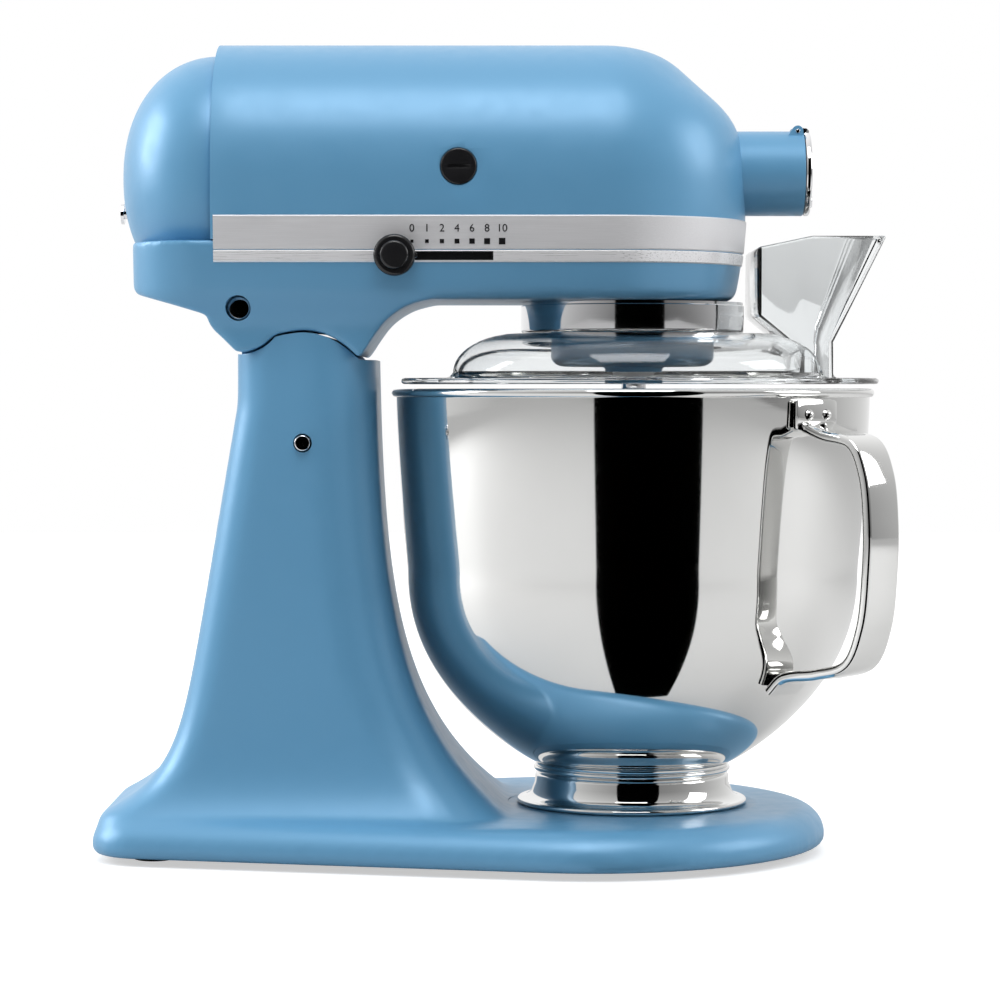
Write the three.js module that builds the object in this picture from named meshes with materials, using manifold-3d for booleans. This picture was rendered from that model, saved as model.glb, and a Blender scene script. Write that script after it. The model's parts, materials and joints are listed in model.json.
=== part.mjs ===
// Tilt-head stand mixer with a twist-lock bowl, in millimetres, +Z up.
// Pieces are drawn about the mixing axis, at the level of the surface that the mixer stands on; at the
// end the whole group moves so that its origin is the middle of its footprint box, on that surface.
// +X is the front of the head (hub side), and the speed control is on the -Y side.
import * as THREE from 'three';
import { mergeVertices } from 'three/addons/utils/BufferGeometryUtils.js';
import Module from 'manifold-3d';

const wasm = await Module();
wasm.setup();

// ---------------------------------------------------------------- driving dimensions
const FIT = 0.3; // gap between pieces that rest on each other
const RUN = 0.6; // gap between pieces that turn or slide past each other
const PAST = 5; // how far a cutting body runs past the face it opens
const FACETS = 0.68; // facets round a curve, as a share of the full count

// feet and base
const FOOT_RADIUS = 10;
const FOOT_HEIGHT = 2.6;
const BASE_RADIUS = 105.5; // round front of the base
const BASE_CENTRE_X = -20; // centre of that round front
const BASE_HEIGHT = 17; // casting, from its lower edge to the deck
const BASE_EDGE = 13; // rounding between side and deck
const BASE_TAIL = 25; // corner radius at the back
const BASE_TAIL_HALF = 65; // half width at the back
const CASTING_WALL = 4.5;

// bowl seat
const CLAMP_RADIUS = 36;
const CLAMP_THICKNESS = 4.5;
const CLAMP_LUG = 2.4; // how far the bayonet lugs stand out of the plate
const CLAMP_SCREW_CIRCLE = 24;
const SCREW_SHANK = 2.4;
const SCREW_HEAD = 4.6;

// bowl
const BOWL_RIM_RADIUS = 104.6; // outside of the wall at the rim
const BOWL_HEIGHT = 165;
const BOWL_FLOOR_RADIUS = 43;
const BOWL_WALL = 1.6;
const BOWL_BEAD = 1.9; // rolled rim
const BOWL_FOOT_HEIGHT = 18;
const BOWL_FOOT_FLANGE = 51;
const BOWL_FOOT_WALL = 3;
const HANDLE_ANGLE = THREE.MathUtils.degToRad(-46); // about +Z, from +X
const HANDLE_REACH = 39;
const HANDLE_DROP = 16; // top of the strap below the rim
const HANDLE_HEIGHT = 103; // grip outside, from the wall of the bowl at the rim
const HANDLE_WIDTH = 20;
const HANDLE_THICKNESS = 4.5;
const HANDLE_PLATE_WIDTH = 26;

// pouring shield
const SHIELD_GAP = 1.8; // over the rim
const SHIELD_RISE = 22; // flange to crown
const SHIELD_WALL = 2;
const SHIELD_CROWN = 62; // radius of the flat crown
const SHIELD_SHOULDER = 18; // from the crown's edge out to the wall
const SHIELD_MOUTH = 39.5; // half width of the slot that is open to the back
const CHUTE_RISE = 42; // above the crown
const CHUTE_HALF = 34; // half width across the mouth
const CHUTE_WALL = 2;

// head
const HEAD_WIDTH = 126;
const HEAD_FRONT = 50; // front of the nose, from the mixing axis
const NOSE_CENTRE = -13; // where the straight sides turn into the nose
const HEAD_RISE = 112.7; // underside to top
const CROWN_HEIGHT = 62; // widest level to top
const KEEL_HEIGHT = 112; // the same curve's depth under the widest level
const SECTION_POWER = 2.2;
const NOSE_FALL = 0.09;
const HEAD_EDGE = 4.5; // rounding along the underside
const HEAD_WALL = 3.5;
const SPLIT_RISE = 25; // underside to the split between the housings
const BAND_LOW = 15.4; // trim, from the underside
const BAND_MIDDLE = 20.9;
const BAND_HIGH = 35.3;
const BAND_GROOVE = 1.2;
const BAND_PROUD = 0.6;
const COVER_DEPTH = 43;
const COVER_STEP = 3.4; // how much smaller the rear cover is
const TAIL_DEPTH = 36; // lower housing behind the seam
const TAIL_RADIUS = 30;

// hinge between pedestal and head
const COLUMN_GAP = 5.4; // from the rim's bead to the column
const COLUMN_LENGTH = 60; // front to back, at the top
const COLUMN_HALF = 50; // half width at the top
const PIN_RADIUS = 5;
const PIN_BACK = 58; // from the column's front to the pin
const PIN_DROP = 3.8; // from the head's underside down to the pin
const KNUCKLE_WALL = 7;
const KNUCKLE_HALF = 26; // half width of the pedestal's knuckle
const CHEEK_RADIUS = 18.6; // head's cheeks, about the pin
const CHEEK_GAP = 0.9; // between cheeks and column

// drive
const ORBIT = 15.5; // mixing axis to agitator shaft
const RING_TEETH = 40;
const PLANET_TEETH = 15;
const PLANETARY_RADIUS = 36;
const PLANETARY_HEIGHT = 15.5;
const SLEEVE_RADIUS = 12.5;
const SLEEVE_LENGTH = 8.6;
const CENTRE_SHAFT = 7;
const CENTRE_SPIGOT = 4.2; // thinner end, between planet pinion and carrier
const CENTRE_BUSH = 4; // wall of the centre shaft's bearing
const AGITATOR_SHAFT = 5.5;
const DRIP_RING_RADIUS = 49.2;
const DRIP_RING_WALL = 3;
const DRIP_RING_HEIGHT = 13.2;
const CENTRE_TEETH = 38;
const PINION_TEETH = 12;
const SPUR_MODULE = 2;
const WHEEL_TEETH = 28;
const WORM_MODULE = 1.5;
const WORM_RADIUS = 6.5; // pitch radius
const MITRE_TEETH = 14;
const MITRE_RADIUS = 14;
const MOTOR_RISE = 56.7; // underside to the motor's and hub's axis
const FIELD_RADIUS = 44;
const ARMATURE_RADIUS = 26.5;
const MOTOR_GAP = 1.2;
const MOTOR_SHAFT = 5;
const BRUSH_X = -76;
const BRUSH_CAP_RADIUS = 7.7;
const BRUSH_HOLDER_RADIUS = 6;
const COMMUTATOR_RADIUS = 13;
const BRACKET_THICKNESS = 2.6;

// hub
const HUB_RADIUS = 18.6;
const HUB_LENGTH = 25;
const HUB_BORE = 12.7;
const HUB_COVER = 2.6;
const HUB_PIN = 1;
const HUB_LUG = 2.5; // lug radius about the cover's pin
const HUB_EYE = 2.1; // radius of the cover's own eye, between the lugs
const HUB_PIN_BACK = 2.9; // how far the cover's pin stands behind the hub face
const HUB_SLOT = 5.1; // half the width of the slot the cover's eye turns in
const HUB_KNOB_RADIUS = 9;
const HUB_SHAFT = 6;

// controls
const FAN_RADIUS = 34;
const FAN_BOSS = 12;
const FAN_WIDTH = 10;
const FAN_BLADES = 7;
const SPEED_X = -103; // control at the off position
const SPEED_TRAVEL = 38;
const SPEED_KNOB_RADIUS = 8.8;
const SPEED_STEM_HEIGHT = 2.6;
const SPEED_STEM_LENGTH = 6;
const LOCK_DROP = 57.5; // pin level down to the lock shaft
const LOCK_FORWARD = 27; // pin to the lock shaft
const LOCK_SHAFT = 3.4;
const LOCK_ARM = 26;

// ---------------------------------------------------------------- derived places
const BASE_BOTTOM = FOOT_HEIGHT + FIT;
const DECK = BASE_BOTTOM + BASE_HEIGHT;
const BASE_REAR = -235;
const FOOT_BOTTOM = DECK + FIT;
const BOWL_BOTTOM = FOOT_BOTTOM + BOWL_FOOT_HEIGHT + FIT;
const RIM = BOWL_BOTTOM + BOWL_HEIGHT;
const BEAD_RADIUS = BOWL_RIM_RADIUS + BOWL_BEAD;
const SHIELD_BOTTOM = RIM + SHIELD_GAP;
const SHIELD_TOP = SHIELD_BOTTOM + SHIELD_RISE;
const HEAD_BOTTOM = SHIELD_TOP + RUN + FIT + DRIP_RING_HEIGHT;
const SPLIT = HEAD_BOTTOM + SPLIT_RISE;
const HEAD_TOP = HEAD_BOTTOM + HEAD_RISE;
const WIDEST = HEAD_TOP - CROWN_HEIGHT;
const HEAD_HALF = HEAD_WIDTH / 2;
const COLUMN_FRONT = -(BEAD_RADIUS + COLUMN_GAP);
const COLUMN_REAR = COLUMN_FRONT - COLUMN_LENGTH;
const PIN_X = COLUMN_FRONT - PIN_BACK;
const PIN_Z = HEAD_BOTTOM - PIN_DROP;
const SEAM = PIN_X - 11;
const TAIL = SEAM - TAIL_DEPTH;
const BASE_BACK = Math.min(BASE_REAR, COLUMN_REAR - 63);
const AXIS_Z = HEAD_BOTTOM + MOTOR_RISE;
const RING_MODULE = (2 * ORBIT) / (RING_TEETH - PLANET_TEETH);
const RING_PITCH = (RING_TEETH * RING_MODULE) / 2;
const PLANET_PITCH = (PLANET_TEETH * RING_MODULE) / 2;

// ---------------------------------------------------------------- solids
const facets = (full) => Math.max(8, Math.round(full * FACETS));

/** Closed geometry to a manifold solid, turned face outward if it was built inside out. */
function solid(geometry) {
  const bare = geometry.index ? geometry.toNonIndexed() : geometry.clone();
  bare.deleteAttribute('normal');
  bare.deleteAttribute('uv');
  const merged = mergeVertices(bare, 1e-4);
  const triVerts = new Uint32Array(merged.index.array);
  const vertProperties = new Float32Array(merged.attributes.position.array);
  if (signedVolume(vertProperties, triVerts) < 0) {
    for (let i = 0; i < triVerts.length; i += 3) {
      [triVerts[i], triVerts[i + 1]] = [triVerts[i + 1], triVerts[i]];
    }
  }
  return new wasm.Manifold(new wasm.Mesh({ numProp: 3, vertProperties, triVerts }));
}

function signedVolume(positions, triangles) {
  const corners = [new THREE.Vector3(), new THREE.Vector3(), new THREE.Vector3()];
  let total = 0;
  for (let i = 0; i < triangles.length; i += 3) {
    corners.forEach((corner, k) => corner.fromArray(positions, 3 * triangles[i + k]));
    total += corners[0].dot(corners[1].cross(corners[2]));
  }
  return total;
}

const join = (...bodies) => bodies.reduce((whole, body) => whole.add(body));
const cut = (whole, ...tools) => tools.reduce((left, tool) => left.subtract(tool), whole);
const both = (one, other) => one.intersect(other);

function block(x0, x1, y0, y1, z0, z1) {
  const box = new THREE.BoxGeometry(x1 - x0, y1 - y0, z1 - z0);
  box.translate((x0 + x1) / 2, (y0 + y1) / 2, (z0 + z1) / 2);
  return solid(box);
}

/** Cylinder along 'x', 'y' or 'z' from a to b; centre holds the other two coordinates in order. */
function rod(axis, radius, a, b, centre = [0, 0], sides = 32, endRadius = radius) {
  const tube = new THREE.CylinderGeometry(endRadius, radius, b - a, facets(sides));
  tube.translate(0, (a + b) / 2, 0);
  if (axis === 'x') tube.rotateZ(-Math.PI / 2).translate(0, centre[0], centre[1]);
  if (axis === 'y') tube.translate(centre[0], 0, centre[1]);
  if (axis === 'z') tube.rotateX(Math.PI / 2).translate(centre[0], centre[1], 0);
  return solid(tube);
}

/** Body of revolution about +Z from [radius, z] points that start and end on the axis or close. */
function turned(points, sides = 48, centre = [0, 0]) {
  const profile = points.map(([r, z]) => new THREE.Vector2(r, z));
  const body = new THREE.LatheGeometry(profile, facets(sides));
  body.rotateX(Math.PI / 2).translate(centre[0], centre[1], 0);
  return solid(body);
}

/** Ring of revolution about +Z with a rectangular section. */
const ring = (inner, outer, z0, z1, sides = 48, centre = [0, 0]) =>
  turned([[inner, z0], [outer, z0], [outer, z1], [inner, z1], [inner, z0]], sides, centre);

/** Outline in X and Y, pushed up from z0 to z1. */
function plate(points, z0, z1) {
  const shape = new THREE.Shape(points.map(([x, y]) => new THREE.Vector2(x, y)));
  const body = new THREE.ExtrudeGeometry(shape, { depth: z1 - z0, bevelEnabled: false });
  body.translate(0, 0, z0);
  return solid(body);
}

/** Outline in X and Z, pushed from y0 to y1. */
function profileAlongY(points, y0, y1) {
  const shape = new THREE.Shape(points.map(([x, z]) => new THREE.Vector2(x, z)));
  const body = new THREE.ExtrudeGeometry(shape, { depth: y1 - y0, bevelEnabled: false });
  body.rotateX(Math.PI / 2).translate(0, y1, 0);
  return solid(body);
}

/** Skin over rings with equal numbers of points; both ends are capped from their middles. */
function loft(rings) {
  const count = rings[0].length;
  const positions = rings.flat().flatMap((p) => [p.x, p.y, p.z]);
  const index = [];
  for (let k = 0; k + 1 < rings.length; k += 1) {
    for (let i = 0; i < count; i += 1) {
      const a = k * count + i;
      const b = k * count + ((i + 1) % count);
      index.push(a, b, b + count, a, b + count, a + count);
    }
  }
  [0, rings.length - 1].forEach((k) => {
    const middle = new THREE.Vector3();
    rings[k].forEach((p) => middle.addScaledVector(p, 1 / count));
    const hub = positions.length / 3;
    positions.push(middle.x, middle.y, middle.z);
    for (let i = 0; i < count; i += 1) {
      const a = k * count + i;
      const b = k * count + ((i + 1) % count);
      if (k === 0) index.push(b, a, hub);
      else index.push(a, b, hub);
    }
  });
  const geometry = new THREE.BufferGeometry();
  geometry.setAttribute('position', new THREE.Float32BufferAttribute(positions, 3));
  geometry.setIndex(index);
  return solid(geometry);
}

/** Ring at height z round circles [x, y, radius]: the tightest convex outline about them all. */
function hullRing(circles, z, inset, sides) {
  const count = 4 * Math.round(facets(sides) / 4);
  return Array.from({ length: count }, (_, i) => {
    const angle = (2 * Math.PI * (i + 0.5)) / count;
    const across = new THREE.Vector2(Math.cos(angle), Math.sin(angle));
    const reach = ([x, y, radius]) => x * across.x + y * across.y + radius;
    const far = circles.reduce((best, circle) => (reach(circle) > reach(best) ? circle : best));
    return new THREE.Vector3(
      far[0] + (far[2] - inset) * across.x,
      far[1] + (far[2] - inset) * across.y,
      z,
    );
  });
}

// ---------------------------------------------------------------- gears
/** Gear outline with straight-sided teeth; phase turns it by that share of a tooth. */
function gearPoints(teeth, pitch, addendum, dedendum, share = 0.36, phase = 0) {
  const step = (2 * Math.PI) / teeth;
  const half = (step * share) / 2;
  const corners = [
    [pitch - dedendum, -0.32 * step],
    [pitch + addendum, -0.55 * half],
    [pitch + addendum, 0.55 * half],
    [pitch - dedendum, 0.32 * step],
  ];
  return Array.from({ length: teeth }, (_, i) => i + phase).flatMap((i) =>
    corners.map(([radius, turn]) => {
      const angle = i * step + turn;
      return [radius * Math.cos(angle), radius * Math.sin(angle)];
    }),
  );
}

/** Mitre gear on +Z: teeth shrink towards the apex, which is at z = apex. */
function mitreGear(phase, apex) {
  const module_ = (2 * MITRE_RADIUS) / MITRE_TEETH;
  const outline = gearPoints(MITRE_TEETH, MITRE_RADIUS, 0.25 * module_, module_, 0.34, phase);
  const layers = [1, 0.66];
  return loft(
    layers.map((scale) =>
      outline.map(([x, y]) => new THREE.Vector3(x * scale, y * scale, apex - MITRE_RADIUS * scale)),
    ),
  );
}

/** Single-start worm along +X from x0 to x1, about [0, AXIS_Z]. */
function worm(x0, x1) {
  const lead = Math.PI * WORM_MODULE;
  const around = 12;
  const steps = Math.round(((x1 - x0) / lead) * 8);
  const rings = Array.from({ length: steps + 1 }, (_, k) => {
    const x = x0 + ((x1 - x0) * k) / steps;
    return Array.from({ length: around }, (_unused, i) => {
      const angle = (2 * Math.PI * i) / around;
      const offset = Math.abs(Math.sin((angle - (2 * Math.PI * x) / lead) / 2));
      const crest = Math.max(0, 1 - offset / Math.sin(0.3 * Math.PI));
      const radius = WORM_RADIUS - 1.1 * WORM_MODULE + 1.9 * WORM_MODULE * crest;
      return new THREE.Vector3(x, radius * Math.cos(angle), AXIS_Z + radius * Math.sin(angle));
    });
  });
  return loft(rings);
}

// ---------------------------------------------------------------- head shape
/** Share of the full width at height z for a head body that is inset all round. */
function headShare(z, inset) {
  const height = z > WIDEST ? CROWN_HEIGHT - inset : KEEL_HEIGHT;
  const level = Math.min(1, Math.abs(z - WIDEST) / height);
  return (1 - level ** SECTION_POWER) ** (1 / SECTION_POWER);
}

/** Share of the nose's reach at a height: the crown falls away a little towards the front. */
function noseShare(z, inset) {
  const level = Math.max(0, z - WIDEST) / (CROWN_HEIGHT - inset);
  return headShare(z, inset) - NOSE_FALL * Math.exp(-(((level - 0.75) / 0.2) ** 2));
}

/** Extra inset that rounds the edge of the underside. */
function underEdge(z) {
  const low = HEAD_BOTTOM + HEAD_EDGE - z;
  return low > 0 ? HEAD_EDGE - Math.sqrt(Math.max(0, HEAD_EDGE ** 2 - low ** 2)) : 0;
}

/** Head body between two heights, inset all round, with a flat back at x = back. */
function headBody(low, high, inset, back = SEAM, noseSides = 20) {
  const steps = 2 * Math.round(facets(noseSides) / 2);
  const crown = Array.from({ length: 8 }, (_, i) => {
    const angle = (Math.PI / 2) * (i / 7) * 0.955;
    return WIDEST + (CROWN_HEIGHT - inset) * Math.sin(angle) ** (2 / SECTION_POWER);
  });
  const keel = [0.15, 0.5, 1, 4].map((share) => HEAD_BOTTOM + HEAD_EDGE * share);
  const between = [...keel, ...crown].filter((z) => z > low + 0.2 && z < high - 0.2);
  const levels = [low, ...between, Math.min(high, crown[7])];
  return loft(
    levels.map((z) => {
      const share = headShare(z, inset);
      const half = (HEAD_HALF - inset) * share - underEdge(z);
      const reach = (HEAD_FRONT - NOSE_CENTRE - inset) * noseShare(z, inset) - underEdge(z);
      const nose = Array.from({ length: steps + 1 }, (_, i) => {
        const angle = Math.PI * (i / steps - 0.5);
        const x = NOSE_CENTRE + reach * Math.cos(angle);
        return new THREE.Vector3(x, half * Math.sin(angle), z);
      });
      const rear = [new THREE.Vector3(back, half, z), new THREE.Vector3(back, -half, z)];
      return [...nose, ...rear];
    }),
  );
}

/** Where cheeks and column part, back to front, moved away from the head by gap. */
function partingCurve(gap) {
  const radius = CHEEK_RADIUS + gap;
  const arc = Array.from({ length: 9 }, (_, i) => {
    const angle = THREE.MathUtils.degToRad(-100 + (i * 62) / 8);
    return new THREE.Vector2(PIN_X + radius * Math.cos(angle), PIN_Z + radius * Math.sin(angle));
  });
  const dip = [[20.5, -10.1], [27, -9.4], [33.5, -10.1], [39.8, -12.4], [45.5, -16], [51, -21]];
  const front = new THREE.SplineCurve([
    arc[arc.length - 1],
    ...dip.map(([x, z]) => new THREE.Vector2(PIN_X + x, PIN_Z + z - gap)),
  ]);
  return [...arc, ...front.getPoints(14).slice(1)].map((p) => [p.x, p.y]);
}

// ---------------------------------------------------------------- pedestal
const baseCircles = [
  [BASE_CENTRE_X, 0, BASE_RADIUS],
  [BASE_BACK + BASE_TAIL, BASE_TAIL_HALF - BASE_TAIL, BASE_TAIL],
  [BASE_BACK + BASE_TAIL, BASE_TAIL - BASE_TAIL_HALF, BASE_TAIL],
];

/** Base slab: straight draft at the foot, then a quarter round up to the deck. */
function baseBody(inset, low, high, steps, sides) {
  const side = [[low, inset], [high - BASE_EDGE, inset]];
  const edge = Array.from({ length: steps }, (_, i) => (90 * (i + 1)) / steps).map((degrees) => {
    const angle = THREE.MathUtils.degToRad(degrees);
    return [high - BASE_EDGE * (1 - Math.sin(angle)), inset + BASE_EDGE * (1 - Math.cos(angle))];
  });
  return loft([...side, ...edge].map(([z, step]) => hullRing(baseCircles, z, step, sides)));
}

/** Column ring at height z: steep above, sweeping out into the base below. */
function columnRing(z, inset, sides) {
  const high = Math.max(z, DECK) - DECK;
  const top = RIM - 6 - DECK;
  const rear = COLUMN_REAR - 0.17 * Math.max(0, top - high) - 30 * Math.exp(-high / 14);
  const front = COLUMN_FRONT + 58 * Math.exp(-high / 46) - 58 * Math.exp(-top / 46);
  const half = COLUMN_HALF + 0.0005 * Math.max(0, 150 - high) ** 2 + 15 * Math.exp(-high / 14);
  const rearHalf = COLUMN_HALF - 2 + 7 * Math.exp(-high / 14);
  const circles = [
    [Math.max(rear, BASE_BACK + 2) + 16, rearHalf - 16, 16],
    [Math.max(rear, BASE_BACK + 2) + 16, 16 - rearHalf, 16],
    [front - 26, half - 26, 26],
    [front - 26, 26 - half, 26],
  ];
  return hullRing(circles, z, inset, sides);
}

function columnBody(low, high, inset, steps, sides) {
  const rises = Array.from({ length: steps }, (_, i) => DECK + (PIN_Z - DECK) * (i / steps) ** 1.7);
  const levels = [low, ...rises.filter((z) => z > low + 1 && z < high - 1), high];
  return loft(levels.map((z) => columnRing(z, inset, sides)));
}

const feetPlaces = [
  [BASE_BACK + BASE_TAIL + 2, BASE_TAIL_HALF - BASE_TAIL - 2],
  [BASE_BACK + BASE_TAIL + 2, BASE_TAIL + 2 - BASE_TAIL_HALF],
  [BASE_CENTRE_X + 20, BASE_RADIUS - 36],
  [BASE_CENTRE_X + 20, 36 - BASE_RADIUS],
  [BASE_CENTRE_X + BASE_RADIUS - 22, 0],
];

const clampScrews = [0, 1, 2].map((i) => {
  const angle = (2 * Math.PI * i) / 3 + Math.PI / 6;
  return [CLAMP_SCREW_CIRCLE * Math.cos(angle), CLAMP_SCREW_CIRCLE * Math.sin(angle)];
});

const lockX = PIN_X + LOCK_FORWARD;
const lockZ = PIN_Z - LOCK_DROP;

function pedestalCasting() {
  const columnTop = PIN_Z - 6;
  const above = [...partingCurve(CHEEK_GAP)];
  const ceiling = PIN_Z + 60;
  const lid = profileAlongY(
    [[PIN_X - 90, above[0][1]], ...above, [above[above.length - 1][0] + 60, above.at(-1)[1]],
      [above.at(-1)[0] + 60, ceiling], [PIN_X - 90, ceiling]],
    -2 * COLUMN_HALF,
    2 * COLUMN_HALF,
  );
  const knuckle = rod('y', PIN_RADIUS + KNUCKLE_WALL, -KNUCKLE_HALF, KNUCKLE_HALF, [PIN_X, PIN_Z], 36);
  const web = profileAlongY(
    [[PIN_X - 4, PIN_Z - 6], [PIN_X - 5, PIN_Z - 40], [PIN_X + 38, PIN_Z - 40],
      [PIN_X + 33, PIN_Z - 15], [PIN_X + 20, PIN_Z - 11], [PIN_X + 9, PIN_Z - 6]],
    -KNUCKLE_HALF,
    KNUCKLE_HALF,
  );
  const outside = join(
    baseBody(0, BASE_BOTTOM, DECK, 4, 48),
    cut(columnBody(BASE_BOTTOM + 3, columnTop, 0, 10, 40), lid),
  );
  const hollowTop = PIN_Z - 42;
  const inside = join(
    baseBody(CASTING_WALL, BASE_BOTTOM - PAST, DECK - CASTING_WALL, 2, 28),
    columnBody(BASE_BOTTOM - PAST, hollowTop, CASTING_WALL + 2, 5, 24),
  );
  const seat = rod('z', BOWL_FOOT_FLANGE + 4, DECK, DECK + 60, [0, 0], 56);
  const bosses = feetPlaces.map((at) => rod('z', FOOT_RADIUS + 1, BASE_BOTTOM, DECK - 2, at, 20));
  const ribs = feetPlaces.slice(0, 2).map(([x, y]) =>
    block(BASE_BACK + 2, x, y - 3, y + 3, BASE_BOTTOM, DECK - BASE_EDGE + 3),
  );
  const lockBosses = [-1, 1].map((side) => {
    const ends = [side * (COLUMN_HALF - 12), side * (COLUMN_HALF - 1)].sort((a, b) => a - b);
    return rod('y', LOCK_SHAFT + 4, ends[0], ends[1], [lockX, lockZ], 24);
  });
  return cut(
    join(cut(outside, inside, seat), knuckle, web, ...bosses, ...ribs, ...lockBosses),
    rod('y', PIN_RADIUS + FIT, -COLUMN_HALF - PAST, COLUMN_HALF + PAST, [PIN_X, PIN_Z], 32),
    rod('y', LOCK_SHAFT + RUN, -2 * COLUMN_HALF, 2 * COLUMN_HALF, [lockX, lockZ], 24),
    ...clampScrews.map((at) => rod('z', SCREW_SHANK + FIT, DECK - 10, DECK + PAST, at, 16)),
  );
}

/** Room over the whole base between two heights. */
function acrossBase(low, high) {
  const front = BASE_CENTRE_X + BASE_RADIUS + PAST;
  return block(BASE_BACK - PAST, front, -BASE_RADIUS - PAST, BASE_RADIUS + PAST, low, high);
}

// ---------------------------------------------------------------- bowl
/** Outer radius of the bowl at a share of its height: round below, nearly straight above. */
function bowlRadius(share) {
  const straight = 0.52;
  if (share >= straight) {
    return BOWL_RIM_RADIUS - 5.2 * ((1 - share) / (1 - straight)) ** 1.4;
  }
  const fall = (straight - share) / straight;
  const wide = BOWL_RIM_RADIUS - 5.2;
  return BOWL_FLOOR_RADIUS + (wide - BOWL_FLOOR_RADIUS) * (1 - fall ** 2.25) ** 0.9;
}

function bowl() {
  const shares = [0, 0.03, 0.08, 0.14, 0.21, 0.29, 0.38, 0.5, 0.66, 0.83, 0.975];
  const outer = shares.map((share) => [bowlRadius(share), BOWL_BOTTOM + share * BOWL_HEIGHT]);
  const bead = [-70, -25, 20, 65, 110].map((degrees) => {
    const angle = THREE.MathUtils.degToRad(degrees);
    return [BOWL_RIM_RADIUS + BOWL_BEAD * Math.cos(angle), RIM - BOWL_BEAD + BOWL_BEAD * Math.sin(angle)];
  });
  const inner = [...shares].reverse().map((share) => {
    const z = BOWL_BOTTOM + BOWL_WALL + share * (BOWL_HEIGHT - BOWL_WALL);
    return [bowlRadius(share) - BOWL_WALL - (share < 0.2 ? 1 : 0), z];
  });
  return turned([[0, BOWL_BOTTOM], ...outer, ...bead, ...inner, [0, BOWL_BOTTOM + BOWL_WALL]], 40);
}

function bowlFoot() {
  const neck = BOWL_FLOOR_RADIUS;
  const low = FOOT_BOTTOM;
  const high = FOOT_BOTTOM + BOWL_FOOT_HEIGHT;
  return turned(
    [[CLAMP_RADIUS + CLAMP_LUG + RUN, low], [BOWL_FOOT_FLANGE, low], [BOWL_FOOT_FLANGE, low + 2.5],
      [neck + 2.5, low + 5], [neck, low + 8], [neck, high - 4.6], [neck - 1.2, high - 3.8],
      [neck + 0.6, high - 2.6], [neck, high], [neck - BOWL_FOOT_WALL, high],
      [neck - BOWL_FOOT_WALL, low + 6], [CLAMP_RADIUS + CLAMP_LUG + RUN, low + 6],
      [CLAMP_RADIUS + CLAMP_LUG + RUN, low]],
    48,
  );
}

function clampPlate() {
  const low = DECK + FIT;
  const high = low + CLAMP_THICKNESS;
  const lugs = [0, 1, 2, 3].map((i) => {
    const wedge = ring(CLAMP_RADIUS - 2, CLAMP_RADIUS + CLAMP_LUG, high - 2, high, 48);
    const sector = block(0, 60, -12, 12, low, high + 1).rotate([0, 0, 90 * i + 45]);
    return both(wedge, sector);
  });
  return cut(
    join(rod('z', CLAMP_RADIUS, low, high, [0, 0], 48), ...lugs),
    ...clampScrews.map((at) => rod('z', SCREW_SHANK + FIT, low - 1, high + 1, at, 16)),
  );
}

function clampScrew(at) {
  const seat = DECK + FIT + CLAMP_THICKNESS + FIT;
  const shank = rod('z', SCREW_SHANK, DECK - CASTING_WALL - 4, seat + 0.5, at, 16);
  const head = rod('z', SCREW_HEAD, seat, seat + 2.2, at, 20, SCREW_HEAD - 1.2);
  return join(shank, head);
}

/** Bowl-frame body turned to where the handle is. */
const atHandle = (body) => body.rotate([0, 0, THREE.MathUtils.radToDeg(HANDLE_ANGLE)]);

/** Strap centre line: out from the rim plate, down the grip and back in to the wall. */
function bowlHandle() {
  const out = BOWL_RIM_RADIUS + HANDLE_REACH - HANDLE_THICKNESS / 2;
  const wall = BOWL_RIM_RADIUS + FIT + 0.5 + HANDLE_THICKNESS / 2;
  const top = RIM - HANDLE_DROP;
  const low = top - HANDLE_HEIGHT;
  const path = new THREE.CatmullRomCurve3(
    [
      [wall - 1, top],
      [wall + 9, top - 3.4],
      [out - 9, top - 7],
      [out - 2.6, top - 19],
      [out, top - 39],
      [out - 0.4, low + 44],
      [out - 3.5, low + 20],
      [out - 11, low + 5],
      [out - 27, low],
      [out - 46, low - 3],
      [out - 53, low - 9],
    ].map(([r, z]) => new THREE.Vector3(r, 0, z)),
  );
  const half = HANDLE_THICKNESS / 2;
  const steps = 30;
  const edge = (side) =>
    Array.from({ length: steps + 1 }, (_, i) => {
      const at = path.getPointAt(i / steps);
      const along = path.getTangentAt(i / steps);
      return [at.x + side * half * along.z, at.z - side * half * along.x];
    });
  const strap = profileAlongY([...edge(-1), ...edge(1).reverse()], -HANDLE_WIDTH / 2, HANDLE_WIDTH / 2);
  const seat = BOWL_RIM_RADIUS + FIT + 0.4;
  const band = ring(seat, seat + 2.2, RIM - 18, RIM - 2 * BOWL_BEAD - 0.6, 96);
  const plateHalf = HANDLE_PLATE_WIDTH / 2;
  const reach = [BOWL_RIM_RADIUS / 2, 2 * BOWL_RIM_RADIUS];
  const rimPlate = both(band, block(...reach, -plateHalf, plateHalf, RIM - 30, RIM));
  const body = join(strap, rimPlate);
  const bowlSpace = turned(
    [[0, BOWL_BOTTOM - 10], ...[0, 0.03, 0.08, 0.14, 0.21, 0.29, 0.38, 0.5, 0.66, 0.83, 1].map((share) => [
      bowlRadius(share) + FIT,
      BOWL_BOTTOM + share * BOWL_HEIGHT,
    ]), [BOWL_RIM_RADIUS + FIT, RIM + 5], [0, RIM + 5]],
    56,
  );
  return atHandle(cut(body, bowlSpace.rotate([0, 0, -THREE.MathUtils.radToDeg(HANDLE_ANGLE)])));
}

function handleRivet(side) {
  const reach = BOWL_RIM_RADIUS + FIT + 0.4 + 2.2;
  const head = rod('x', 2.4, reach + FIT, reach + FIT + 1.2, [side * 5.6, RIM - 11], 16, 1.4);
  return atHandle(head);
}

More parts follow.
